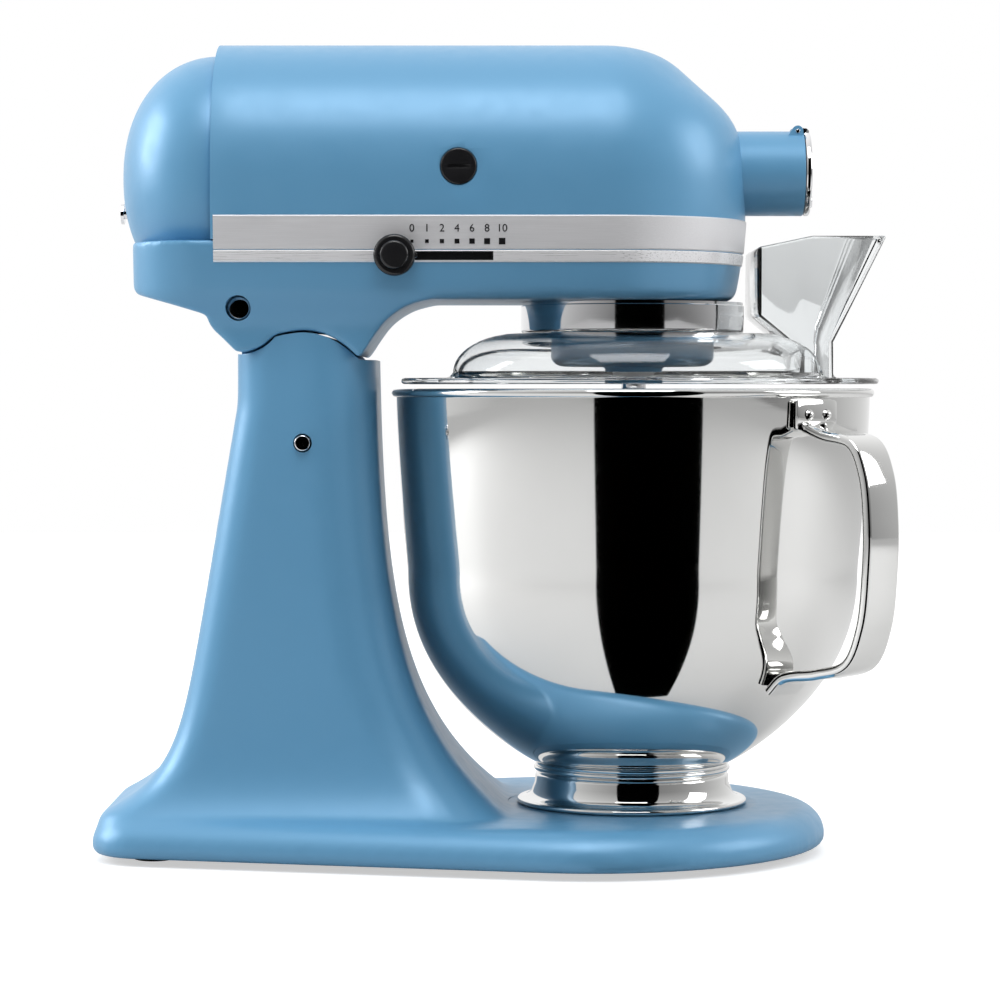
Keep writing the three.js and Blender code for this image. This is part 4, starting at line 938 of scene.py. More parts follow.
# ------------------------------------------------------------------ pedestal
@dataclass
class Pedestal:
    """Base and column in one casting, with the hinge knuckle at its top."""

    base_radius: float = 105.5 * MM
    base_centre: float = -20 * MM
    tail_radius: float = 25 * MM
    tail_half: float = 65 * MM
    edge: float = 13 * MM
    toe: float = 2 * MM
    half: float = 50 * MM
    length: float = 60 * MM
    knuckle_half: float = 26 * MM
    knuckle_radius: float = 12 * MM
    wall: float = 4.5 * MM

    def __post_init__(self) -> None:
        """Takes the casting's ends from the frame."""
        self.low = D.low("pedestal_base").z
        self.back = D.low("pedestal_base").x
        self.front = PIN.x + 58 * MM
        tail = self.back + self.tail_radius
        side = self.tail_half - self.tail_radius
        self.circles = [
            (self.base_centre, 0, self.base_radius),
            (tail, side, self.tail_radius),
            (tail, -side, self.tail_radius),
        ]

    def base(self, inset: float, low: float, high: float) -> bpy.types.Object:
        """Slab with a small toe radius and a full round up to the deck.

        Args:
            inset: wall that is left outside it.
            low: lower height.
            high: upper height.

        Returns:
            The slab.
        """
        profile = [
            (low, inset + self.toe), (low + 0.6 * self.toe, inset + 0.5 * self.toe),
            (low + 1.6 * self.toe, inset),
        ]
        profile += [
            (high - self.edge * (1 - math.sin(t)), inset + self.edge * (1 - math.cos(t)))
            for t in np.linspace(0.05, np.pi / 2, 12)
        ]
        profile.append((high + 0.4 * MM, inset + self.edge + 30 * MM))
        return lofted("base", np.array([hull_ring(self.circles, z, step, 160) for z, step in profile[:-1]]))

    def column_ring(self, z: float, inset: float) -> np.ndarray:
        """Column outline at a height: steep above, sweeping out below.

        Args:
            z: height.
            inset: wall that is left outside it.

        Returns:
            Points of the outline.
        """
        high = max(z, DECK) - DECK
        top = RIM - 6 * MM - DECK
        rear = self.front - self.length - 0.17 * max(0.0, top - high) - 0.030 * math.exp(-high / 0.014)
        rear = max(rear, self.back + 1.5 * MM)
        front = self.front + 0.058 * (math.exp(-high / 0.046) - math.exp(-top / 0.046))
        half = self.half + 0.5 * max(0.0, 0.150 - high) ** 2 + 0.015 * math.exp(-high / 0.014)
        rear_half = self.half - 2 * MM + 0.007 * math.exp(-high / 0.014)
        circles = [
            (rear + 0.016, rear_half - 0.016, 0.016),
            (rear + 0.016, 0.016 - rear_half, 0.016),
            (front - 0.026, half - 0.026, 0.026),
            (front - 0.026, 0.026 - half, 0.026),
        ]
        return hull_ring(circles, z, inset, 160)

    def column(self, low: float, high: float, inset: float) -> bpy.types.Object:
        """Column body between two heights."""
        rise = np.linspace(0, 1, 46) ** 1.8
        return lofted("column", np.array([self.column_ring(low + (high - low) * s, inset) for s in rise]))

    def build(self) -> None:
        """Makes the casting and the knuckle."""
        body = gathered(self.base(0, self.low, DECK), self.column(self.low + 3 * MM, PIN.z - 6 * MM, 0))
        cast(body, 1.9 * MM, 14)
        line = parting(0.9 * MM)
        lid = [(PIN.x - 0.09, line[0][1]), *line, (line[-1][0] + 0.06, line[-1][1])]
        lid += [(line[-1][0] + 0.06, PIN.z + 0.06), (PIN.x - 0.09, PIN.z + 0.06)]
        seat = plug("seat", 55 * MM, DECK, DECK + 0.06)
        hollow = self.base(self.wall, self.low - 0.01, DECK - self.wall)
        shaft = self.column(self.low - 0.01, PIN.z - 0.042, self.wall + 2 * MM)
        cut(body, pushed("lid", lid, -0.1, 0.1), seat, hollow, shaft)
        cut(body, rod("bore", "y", (LOCK.x, -0.1, LOCK.z), 4.0 * MM, 0.2))
        eased(body, 0.5 * MM, 2, 40)
        shown(body, "pedestal", "base", Finish.ENAMEL, ["pedestal_base", "pedestal_column"])
        self.knuckle()

    def knuckle(self) -> None:
        """Tongue that carries the hinge pin between the head's cheeks."""
        outline = arc((PIN.x, PIN.z), self.knuckle_radius, -20, 262, 48)
        outline += [(PIN.x + 2 * MM, PIN.z - 40 * MM), (PIN.x + 38 * MM, PIN.z - 40 * MM)]
        outline += [(PIN.x + 33 * MM, PIN.z - 15 * MM), (PIN.x + 20 * MM, PIN.z - 11 * MM)]
        tongue = pushed("tongue", outline, -self.knuckle_half, self.knuckle_half)
        shown(eased(tongue, 0.8 * MM), "hinge_knuckle", "base", Finish.ENAMEL)


@dataclass
class SmallFittings:
    """Feet, hinge pin, lock shaft and lock lever."""

    foot_radius: float = 10 * MM

    def build(self) -> None:
        """Makes every fitting."""
        for i in range(1, 6):
            node = f"rubber_foot_{i}"
            place = middle(node) - D.shift
            height = D.high(node).z
            r = self.foot_radius - 0.2 * MM
            profile = [
                (0, 0), (r - 1.6 * MM, 0), (r - 0.9 * MM, 0.25 * MM), (r - 0.3 * MM, 0.8 * MM), (r, height),
                (0, height),
            ]
            shown(turned("foot", profile, (place.x, place.y), 64), f"foot_{i}", "base", Finish.RUBBER, [node])
        low = D.low("hinge_pin").y
        length = D.high("hinge_pin").y - low
        pin = rod("pin", "y", (PIN.x, low, PIN.z), 4.95 * MM, length, 0.8 * MM, steps=64)
        shown(pin, "hinge_axle", "base", Finish.CHROME, ["hinge_pin"])
        self.lock()

    def lock(self) -> None:
        """Lock shaft with its bright collar and dark end, and the lever on the far side."""
        low, high = D.low("lock_shaft").y, D.high("lock_shaft").y
        shaft = rod("shaft", "y", (LOCK.x, low, LOCK.z), 3.35 * MM, high - low, 0.5 * MM, steps=64)
        socket = rod("socket", "y", (LOCK.x, low - 1 * MM, LOCK.z), 1.6 * MM, 3 * MM, steps=6)
        shown(cut(shaft, socket), "lock_axle", "lock", Finish.CHROME, ["lock_shaft"])
        y = D.low("lock_lever").y
        top = D.high("lock_lever").z - 6.5 * MM
        side = arc((LOCK.x, LOCK.z), 6.4 * MM, 160, 380, 24) + arc(
            (LOCK.x - 0.5 * MM, top), 4.4 * MM, 10, 170, 12,
        )
        arm = eased(pushed("arm", side, y, y + 4 * MM), 0.9 * MM)
        profile = [
            (0, 0), (5.2 * MM, 0), (5.4 * MM, 4 * MM), *arc((4.6 * MM, 10 * MM), 1.8 * MM, 0, 90, 6),
            (0, 12 * MM),
        ]
        knob = along(turned("knob", profile, steps=48), "y", (LOCK.x - 0.5 * MM, y + 3 * MM, top))
        shown(gathered(arm, knob), "lock_handle", "lock", Finish.BLACK, ["lock_lever"])


# ------------------------------------------------------------------ head
@dataclass
class Housings:
    """Upper and lower head castings with the hub, the tail and the cheeks."""

    wall: float = 3.5 * MM
    hub_radius: float = 18.6 * MM
    hub_bore: float = 12.7 * MM
    hub_root: float = 30 * MM
    knob_back: float = 12 * MM
    ear: float = 2.45 * MM
    ear_gap: float = 5.1 * MM
    tail_radius: float = 30 * MM
    cheek_half: float = 50 * MM

    def build(self) -> None:
        """Makes both castings."""
        self.upper()
        self.lower()

    def upper(self) -> None:
        """Upper casting, open below and behind, with the attachment hub on its nose."""
        pin = D.joint("hub_cover_flip")
        face = pin.x + HubParts.pin_back
        shell = HEAD.body("upper", SPLIT, HEAD_TOP, 0, SEAM)
        hub_profile = [(0, 0), (self.hub_radius + 0.8 * MM, 0), (self.hub_radius, 7 * MM)]
        hub_profile += arc((self.hub_radius - 0.6 * MM, face - self.hub_root - 0.6 * MM), 0.6 * MM, 0, 90, 4)
        hub_profile += [(0, face - self.hub_root)]
        hub = along(turned("hub", hub_profile), "x", (self.hub_root, 0, HUB_AXIS))
        knob_x = face - self.knob_back
        boss = rod("boss", "y", (knob_x, 13.3 * MM, HUB_AXIS), 6 * MM, 7 * MM, 0.8 * MM, steps=48)
        lugs = [self.lug(side) for side in (-1, 1)]
        fused(shell, hub, boss, *lugs)
        inner = HEAD.body("inner", SPLIT - 0.01, HEAD_TOP - self.wall, self.wall, SEAM - 0.01)
        bore = rod("bore", "x", (face - 0.045, 0, HUB_AXIS), self.hub_bore, 0.06)
        stem = rod("stem", "y", (knob_x, 4 * MM, HUB_AXIS), 3.8 * MM, 0.03, steps=48)
        slot = block(
            "slot", (pin.x - 2.6 * MM, -self.ear_gap, pin.z - 2.5 * MM),
            (face + 5 * MM, self.ear_gap, pin.z + 9 * MM),
        )
        cut(shell, inner, bore, stem, slot, *(self.brush_hole(side) for side in (-1, 1)))
        shown(eased(shell, 0.5 * MM, 3, 40), "upper_housing", "head", Finish.ENAMEL, ["head_upper_housing"])

    def lug(self, side: int) -> bpy.types.Object:
        """One of the two ears that hold the hub cover's pin.

        Args:
            side: -1 for the near side, 1 for the far side.

        Returns:
            The ear.
        """
        pin = D.joint("hub_cover_flip")
        foot = HUB_AXIS + self.hub_radius - 5 * MM
        outline = arc((pin.x, pin.z), self.ear, -8, 150, 18)
        outline += [(pin.x - 6 * MM, foot), (pin.x + self.ear, foot)]
        ends = sorted((side * 4.4 * MM, side * 9.1 * MM))
        return pushed("lug", outline, ends[0], ends[1])

    def brush_hole(self, side: int) -> bpy.types.Object:
        """Counterbore for a brush cap.

        Args:
            side: -1 for the near side, 1 for the far side.

        Returns:
            The cutting tool.
        """
        place = middle("brush_cap_left") - D.shift
        start = HEAD.half - 1.6 * MM if side > 0 else -HEAD.half - 5 * MM
        return rod("hole", "y", (place.x, start, place.z), 8 * MM, 6.6 * MM, steps=96)

    def side_profile(self) -> list[Point2]:
        """Side view of the tail, the cheeks and the sweep up to the head's underside.

        Returns:
            The closed outline, as x and height.
        """
        tail = D.low("head_lower_housing").x
        line = parting(0)
        last = line[-1]
        front = curve_through(
            [last, (last[0] + 2.2 * MM, last[1] + 2.6 * MM), (last[0] + 6 * MM, last[1] + 8.4 * MM),
             (last[0] + 12 * MM, last[1] + 16 * MM), (last[0] + 21 * MM, last[1] + 22 * MM),
             (last[0] + 33 * MM, HEAD_LOW + 0.5 * MM)], 26)
        corner = arc((tail + 5 * MM, HEAD_LOW + 6.7 * MM), 5 * MM, 180, 245, 8)
        low = [(PIN.x - 27 * MM, HEAD_LOW - 2.6 * MM), (PIN.x - 13 * MM, PIN.z - 3 * MM)]
        turn = arc((PIN.x, PIN.z), 14.2 * MM, 200, 235, 6)
        return [(tail, SPLIT), *corner, *low, *turn, *line[2:], *[tuple(p) for p in front[1:]],
                (last[0] + 33 * MM, SPLIT)]

    def plan(self, name: str, low: float, high: float, inset: float) -> bpy.types.Object:
        """Plan of the tail and cheeks: narrow where it meets the column, flowing out to the head's width.

        Args:
            name: name of the object.
            low: lower height.
            high: upper height.
            inset: how far the plan is drawn in.

        Returns:
            The plan as an upright body.
        """
        tail = D.low("head_lower_housing").x
        rings = []
        for z in np.linspace(low, high, 30):
            climb = min(1.0, max(0.0, (z - (PIN.z - 12 * MM)) / (20 * MM)))
            swell = climb * climb * (3 - 2 * climb)
            half = self.cheek_half + swell * (HEAD.half * HEAD.share(z, 0) - self.cheek_half)
            near = self.cheek_half - self.tail_radius
            circles = [(tail + self.tail_radius, near * s, self.tail_radius) for s in (-1, 1)]
            circles += [(SEAM - 6 * MM, (half - self.tail_radius) * s, self.tail_radius) for s in (-1, 1)]
            circles += [(HEAD.nose_centre, (half - self.tail_radius) * s, self.tail_radius) for s in (-1, 1)]
            rings.append(hull_ring(circles, z, inset, 120))
        return lofted(name, np.array(rings))

    def lower(self) -> None:
        """Lower casting: floor under the drive, tail behind the seam and cheeks about the pin."""
        high = D.high("head_lower_housing").z
        body = HEAD.body("lower", HEAD_LOW, high, 0, SEAM)
        profile = [(x, min(z, high)) for x, z in self.side_profile()]
        keel = pushed("keel", profile, -0.07, 0.07)
        combined(keel, self.plan("plan", PIN.z - 0.05, high + 1 * MM, 0), "INTERSECT")
        cast(gathered(body, keel), 1.15 * MM, 9)
        slot_half = 26.6 * MM
        tail = D.low("head_lower_housing").x
        below = block("below", (tail - 0.01, -slot_half, PIN.z - 0.06), (PIN.x + 41 * MM, slot_half, PIN.z))
        clear = rod("clear", "y", (PIN.x, -slot_half, PIN.z), 12.6 * MM, 2 * slot_half)
        inner = HEAD.body("inner", HEAD_LOW + self.wall, high + 0.01, self.wall, SEAM + self.wall)
        pin = rod("pin", "y", (PIN.x, -0.07, PIN.z), 5.4 * MM, 0.14, steps=64)
        slot = SpeedControl().slot_tool()
        shaft = plug("shaft", 11.9 * MM, HEAD_LOW - 0.01, HEAD_LOW + 0.02)
        cut(body, below, clear, inner, pin, slot, shaft)
        shown(body, "lower_housing", "head", Finish.ENAMEL, ["head_lower_housing"], 28)


@dataclass
class RearCover:
    """Domed cap behind the seam, with its screw left as it is in the frame."""

    step: float = 3.4 * MM
    power: float = 2 / 2.2

    def build(self) -> None:
        """Makes the cap."""
        low, high = D.low("rear_cover"), D.high("rear_cover")
        centre = HEAD_LOW + 53.3 * MM
        rise = high.z - centre
        depth = high.x - low.x
        turns = np.arange(128) * 2 * np.pi / 128
        across = np.sign(np.cos(turns)) * np.abs(np.cos(turns)) ** self.power
        up = np.sign(np.sin(turns)) * np.abs(np.sin(turns)) ** self.power
        rings = []
        for k in range(40):
            angle = k / 39 * math.radians(88.5)
            share = math.cos(angle) ** 0.92
            x = high.x - depth * math.sin(angle) ** 0.95
            half = (HEAD.half - self.step) * share
            rings.append(np.column_stack([np.full(128, x), half * across, centre + rise * share * up]))
        cap = lofted("cap", np.array(rings))
        below = block("below", (low.x - 0.05, -0.1, 0), (high.x + 0.01, 0.1, low.z))
        shown(eased(cut(cap, below), 0.7 * MM, 3, 45), "rear_cap", "head", Finish.ENAMEL, ["rear_cover"])


@dataclass
class Trim:
    """Brushed band and bright lower strip round the head, with the speed scale."""

    depth: float = 1.6 * MM
    proud: float = 0.55 * MM
    round: float = 0.5 * MM
    marks: int = 7
    first_mark: float = -95.7 * MM
    mark_pitch: float = 6.35 * MM

    def strip(self, node: str) -> bpy.types.Object:
        """Band that follows the head between a node's heights.

        Args:
            node: frame node whose heights it takes.

        Returns:
            The band.
        """
        low, high = D.low(node).z, D.high(node).z
        back = D.low(node).x
        inset = self.depth - self.proud
        section = [(low, inset), (low, self.round - self.proud), (low + self.round, -self.proud)]
        section += [(low + (high - low) * s, -self.proud) for s in (0.35, 0.65)]
        section += [(high - self.round, -self.proud), (high, self.round - self.proud), (high, inset)]
        rows = np.array([HEAD.nose(z, step, back, 96) for z, step in section])
        return lofted("strip", rows.transpose(1, 0, 2))

    def build(self) -> None:
        """Makes the band, the strip and the scale."""
        shown(self.strip("trim_band"), "head_band", "head", Finish.TRIM, ["trim_band"])
        lower = cut(self.strip("trim_strip"), SpeedControl().slot_tool())
        shown(lower, "head_strip", "head", Finish.BRIGHT_TRIM, ["trim_strip"])
        self.scale()

    def scale(self) -> None:
        """Numbers and dots over the speed slot."""
        number_row = HEAD_LOW + 29.6 * MM
        dot_row = HEAD_LOW + 24.2 * MM
        labels = ("0", "1", "2", "4", "6", "8", "10")
        for i, label in enumerate(labels):
            x = self.first_mark + i * self.mark_pitch
            write = bpy.data.curves.new("figure", "FONT")
            write.body = label
            write.size = 4.6 * MM
            write.align_x = "CENTER"
            write.align_y = "CENTER"
            write.extrude = 0.12 * MM
            text = linked("figure", write)
            graph = bpy.context.evaluated_depsgraph_get()
            mesh = bpy.data.meshes.new_from_object(text.evaluated_get(graph))
            bpy.data.objects.remove(text)
            figure = linked("figure", mesh)
            self.on_side(figure, x, number_row)
            size = (0.65 + 0.12 * i) * MM
            dot = block("dot", (-size, -size, -0.12 * MM), (size, size, 0.12 * MM))
            self.on_side(dot, x, dot_row)
            shown(gathered(figure, dot), f"speed_mark_{i}", "head", Finish.BLACK)

    def on_side(self, mark: bpy.types.Object, x: float, z: float) -> None:
        """Lays a flat mark on the near side of the band.

        Args:
            mark: flat mark, drawn on z = 0.
            x: place along the band.
            z: height of its middle.
        """
        reach = (HEAD.half + self.proud) * HEAD.share(z, -self.proud)
        lean = math.atan2(HEAD.half * (HEAD.share(z + MM, 0) - HEAD.share(z - MM, 0)), 2 * MM)
        turn = Matrix.Rotation(math.pi / 2 + lean, 4, "X")
        moved(mark, Matrix.Translation((x, -reach - 0.02 * MM, z)) @ turn)


@dataclass
class SpeedControl:
    """Knob that slides in its slot, with the lever behind it left as it is in the frame."""

    knob_radius: float = 8.8 * MM
    stem: float = 3 * MM
    travel: float = 38 * MM
    height: float = 2.6 * MM
    clear: float = 0.6 * MM

    def __post_init__(self) -> None:
        """Takes the knob's place from the frame."""
        self.x = D.low("speed_knob").x + self.knob_radius
        self.z = (D.low("speed_lever").z + D.high("speed_lever").z) / 2

    def slot_tool(self) -> bpy.types.Object:
        """Cutting tool for the slot that the stem runs in.

        Returns:
            The cutting tool.
        """
        half = self.height / 2 + self.clear
        x0 = self.x - self.stem - self.clear
        x1 = self.x + self.travel + self.stem + self.clear
        return block("slot", (x0, -HEAD.half - 0.01, self.z - half), (x1, -HEAD.half + 0.012, self.z + half))

    def build(self) -> None:
        """Makes the knob and the dark liner of the slot."""
        y = D.high("speed_knob").y
        depth = y - D.low("speed_knob").y
        r = self.knob_radius
        profile = [
            (0, 0), (r - 0.8 * MM, 0), (r, 0.8 * MM),
            *arc((r - 1.6 * MM, depth - 3.4 * MM), 1.6 * MM, 0, 90, 6),
        ]
        profile += [
            (r - 2.6 * MM, depth - 1.9 * MM), *arc((r - 4 * MM, depth - 1.3 * MM), 1.3 * MM, 0, 90, 5),
            (0, depth),
        ]
        knob = along(turned("knob", profile, steps=96), "-y", (self.x, y, self.z))
        nib = [(self.x, self.z - 1.6 * MM), (self.x + r + 0.6 * MM, self.z - 1.0 * MM)]
        nib += [
            (self.x + r + 1.0 * MM, self.z), (self.x + r + 0.6 * MM, self.z + 1.0 * MM),
            (self.x, self.z + 1.6 * MM),
        ]
        pointer = eased(pushed("pointer", nib, y - 4.6 * MM, y - 0.2 * MM), 0.4 * MM, 2)
        shown(gathered(knob, pointer), "speed_dial", "speed_control", Finish.BLACK, ["speed_knob"])
        half = self.height / 2 + self.clear + 1.2 * MM
        x0 = self.x - self.stem - 2 * self.clear
        x1 = self.x + self.travel + self.stem + 2 * self.clear
        back = -HEAD.half * HEAD.share(self.z, 0) + 1.4 * MM
        liner = block("liner", (x0, back, self.z - half), (x1, back + 2.4 * MM, self.z + half))
        hole = block(
            "hole", (x0 + 1 * MM, back + 1.0 * MM, self.z - 1.6 * MM),
            (x1 - 1 * MM, back + 9 * MM, self.z + 1.6 * MM),
        )
        shown(eased(cut(liner, hole), 0.3 * MM, 2), "slot_liner", "head", Finish.BLACK)


@dataclass
class HubParts:
    """Hinged hub cover, its pin, the attachment knob and the brush caps."""

    radius: float = 18.6 * MM
    pin_back: float = 2.9 * MM

    def build(self) -> None:
        """Makes the parts on the head's nose and sides."""
        pin = D.joint("hub_cover_flip")
        cover_x = pin.x + self.pin_back + D.gap
        rim = [(0, 0), (self.radius - 0.3 * MM, 0), (self.radius, 0.5 * MM)]
        rim += arc((self.radius - 0.9 * MM, 1.6 * MM), 0.9 * MM, 0, 90, 5)
        rim += [(self.radius - 3.2 * MM, 2.5 * MM), (self.radius - 3.8 * MM, 2.1 * MM), (0, 2.1 * MM)]
        disc = along(turned("disc", rim), "x", (cover_x, 0, HUB_AXIS))
        edge = cover_x + 2.2 * MM
        tab_side = [(edge, pin.z - 2 * MM), (edge, pin.z + 0.6 * MM), (edge - 1.1 * MM, pin.z + 1.6 * MM),
                    *arc((pin.x, pin.z), 2.0 * MM, 70, 285, 20)]
        tab = eased(pushed("tab", tab_side, -4.8 * MM, 4.8 * MM), 0.3 * MM, 2)
        grip = rod(
            "grip", "x", (cover_x + 1.9 * MM, 0, HUB_AXIS - 12 * MM), 3.1 * MM, 2.0 * MM, 0.8 * MM, steps=48,
        )
        bore = rod("bore", "y", (pin.x, -0.015, pin.z), 1.2 * MM, 0.03, steps=32)
        shown(cut(gathered(disc, tab, grip), bore), "hub_lid", "hub_cover", Finish.CHROME, ["hub_cover"])
        axle = rod("axle", "y", (pin.x, -9.4 * MM, pin.z), 1 * MM, 18.8 * MM, 0.3 * MM, steps=32)
        shown(axle, "hub_lid_axle", "head", Finish.CHROME, ["hub_cover_pin"])
        self.knob()
        for side, name in ((-1, "left"), (1, "right")):
            self.brush_cap(side, name)

    def knob(self) -> None:
        """Fluted thumbscrew on the far side of the hub."""
        place = D.joint("attachment_knob_turn")
        high, low = D.high("attachment_knob").y, D.low("attachment_knob").y
        turns = np.arange(96) * 2 * np.pi / 96
        flutes = 1 - 0.075 * np.clip(np.cos(8 * turns), 0, 1) ** 2
        grip_length = 9 * MM
        layers = [(0, 0.92), (0.8, 1.0), (7.4, 0.93), (8.5, 0.88), (9, 0.78)]
        rings = []
        for depth, share in layers:
            r = 9 * MM * share * flutes
            rings.append(np.column_stack([
                place.x + r * np.cos(turns), np.full(96, high - grip_length + depth * MM),
                place.z + r * np.sin(turns),
            ]))
        grip = lofted("grip", np.array(rings))
        stem = rod("stem", "y", (place.x, low, place.z), 3.2 * MM, high - low - 5 * MM, steps=48)
        shown(gathered(grip, stem), "hub_knob", "attachment_knob", Finish.BLACK, ["attachment_knob"])

    def brush_cap(self, side: int, name: str) -> None:
        """Slotted screw cap over a motor brush.

        Args:
            side: -1 for the near side, 1 for the far side.
            name: side as it stands in the node's name.
        """
        place = middle(f"brush_cap_{name}") - D.shift
        radius = 7.65 * MM
        profile = [
            (0, 0), (radius - 0.4 * MM, 0), *arc((radius - 0.7 * MM, 1.2 * MM), 0.7 * MM, 0, 90, 5),
            (0, 1.9 * MM),
        ]
        start = side * (HEAD.half - 1.3 * MM)
        cap = along(turned("cap", profile, steps=96), "y" if side > 0 else "-y", (place.x, start, place.z))
        ends = sorted((side * (HEAD.half - 0.2 * MM), side * (HEAD.half + 2 * MM)))
        slot = block(
            "slot", (place.x - 4.6 * MM, ends[0], place.z - 0.8 * MM),
            (place.x + 4.6 * MM, ends[1], place.z + 0.8 * MM),
        )
        shown(
            eased(cut(cap, slot), 0.15 * MM, 2, 50), f"brush_plug_{name}", "head", Finish.BLACK,
            [f"brush_cap_{name}"],
        )


# ------------------------------------------------------------------ mixing head
@dataclass
class MixingHead:
    """Drip ring, planetary body, agitator shaft and flat beater."""

    ring_radius: float = 49.2 * MM
    ring_wall: float = 3 * MM
    body_radius: float = 36 * MM
    sleeve_radius: float = 12.5 * MM
    shaft_radius: float = 5.5 * MM

    def build(self) -> None:
        """Makes the pieces under the head's nose."""
        self.ring()
        self.planetary()
        self.shaft_and_beater()

    def ring(self) -> None:
        """Bright drip ring with a rolled lower lip."""
        low, high = D.low("drip_ring").z, D.high("drip_ring").z
        r, inner = self.ring_radius, self.ring_radius - self.ring_wall
        profile = [
            (inner, high), (inner, low + 0.8 * MM),
            *arc((inner + 0.8 * MM, low + 0.8 * MM), 0.8 * MM, 180, 270, 4),
        ]
        profile += [
            *arc((r - 1.2 * MM, low + 1.2 * MM), 1.2 * MM, -90, 0, 6), (r, high - 1.6 * MM),
            (r - 0.5 * MM, high - 1.2 * MM), (r - 0.5 * MM, high)
        ]
        shown(turned("ring", profile, steps=192), "drip_collar", "head", Finish.CHROME, ["drip_ring"])

    def planetary(self) -> None:
        """Painted drum with a rounded lower edge and the sleeve round the agitator shaft."""
        low, high = D.low("planetary_carrier").z, D.high("planetary_carrier").z
        drum_low = low + 8.6 * MM
        place = D.joint("agitator_turn")
        r = self.body_radius
        drum = turned(
            "drum",
            [
                (0, drum_low), *arc((r - 6 * MM, drum_low + 6 * MM), 6 * MM, -90, 0, 10),
                (r, high - 0.6 * MM), (r - 0.6 * MM, high), (0, high),
            ],
            steps=160,
        )
        s = self.sleeve_radius
        sleeve = turned(
            "sleeve",
            [
                (0, low), (s - 0.8 * MM, low), (s, low + 0.8 * MM), (s, drum_low - 2 * MM),
                (s + 0.6 * MM, drum_low - 0.8 * MM), (s + 2 * MM, drum_low), (s + 2 * MM, drum_low + 3 * MM),
                (0, drum_low + 3 * MM),
            ],
            (place.x, place.y), 96,
        )
        bore = plug("bore", 6.1 * MM, low - 0.01, high + 0.01, (place.x, place.y), 64)
        shown(
            cut(fused(drum, sleeve), bore), "planetary_body", "planetary", Finish.ENAMEL,
            ["planetary_carrier"],
        )

    def shaft_and_beater(self) -> None:
        """Agitator shaft with its cross pin, and the flat beater on it."""
        place = D.joint("agitator_turn")
        low, high = D.low("agitator_shaft").z, D.high("agitator_shaft").z
        shaft = rod(
            "shaft", "z", (place.x, place.y, low), self.shaft_radius - 0.05 * MM, high - low, 1.2 * MM, 64,
        )
        pin_z = D.low("planetary_carrier").z - 9 * MM
        pin = rod("pin", "x", (-8.9 * MM, place.y, pin_z), 1.75 * MM, 17.8 * MM, 0.5 * MM, steps=32)
        shown(gathered(shaft, pin), "agitator_axle", "agitator", Finish.CHROME, ["agitator_shaft"])
        self.beater(place)

    def beater(self, place: Vector) -> None:
        """Flat beater: rounded frame, centre rib and cross rib, cast with soft edges.

        Args:
            place: point on the agitator's axis.
        """
        low, high = D.low("flat_beater"), D.high("flat_beater")
        centre = low.z + 0.42 * (high.z - 26 * MM - low.z)
        widest = high.x

        def frame_line(inset: float) -> list[Point2]:
            """Frame outline drawn in by inset.

            Args:
                inset: how far the outline is drawn in.

            Returns:
                Points of the outline.
            """
            points = []
            for t in np.arange(96) * 2 * np.pi / 96:
                rise = high.z - 22 * MM - centre if math.sin(t) > 0 else centre - low.z
                taper = 1 - 0.25 * max(0.0, math.sin(t))
                points.append(((widest - inset) * math.cos(t) * taper, centre + (rise - inset) * math.sin(t)))
            return points

        y = place.y
        rim = cut(
            pushed("rim", frame_line(0), y - 3.4 * MM, y + 3.4 * MM),
            pushed("hole", frame_line(8 * MM), y - 6 * MM, y + 6 * MM),
        )
        ribs = [
            block("rib", (-4 * MM, y - 3.4 * MM, low.z + 3 * MM), (4 * MM, y + 3.4 * MM, high.z - 20 * MM)),
            block(
                "rib", (-widest + 3 * MM, y - 3.4 * MM, centre - 4 * MM),
                (widest - 3 * MM, y + 3.4 * MM, centre + 4 * MM),
            ),
        ]
        hub_low = high.z - 24 * MM
        hub = turned(
            "hub",
            [
                (0, hub_low), (7.5 * MM, hub_low), (9.4 * MM, hub_low + 2 * MM),
                (9.4 * MM, high.z - 0.8 * MM), (8.6 * MM, high.z), (0, high.z),
            ],
            (place.x, y), 64,
        )
        body = cast(gathered(rim, *ribs, hub), 0.9 * MM, 4)
        socket = plug("socket", 5.9 * MM, high.z - 22 * MM, high.z + 0.01, (place.x, y), 64)
        slot = block(
            "slot", (-12 * MM, y - 2.3 * MM, high.z - 10 * MM), (12 * MM, y + 2.3 * MM, high.z + 5 * MM),
        )
        shown(cut(body, socket, slot), "beater", "agitator", Finish.CAST_METAL, ["flat_beater"], 40)


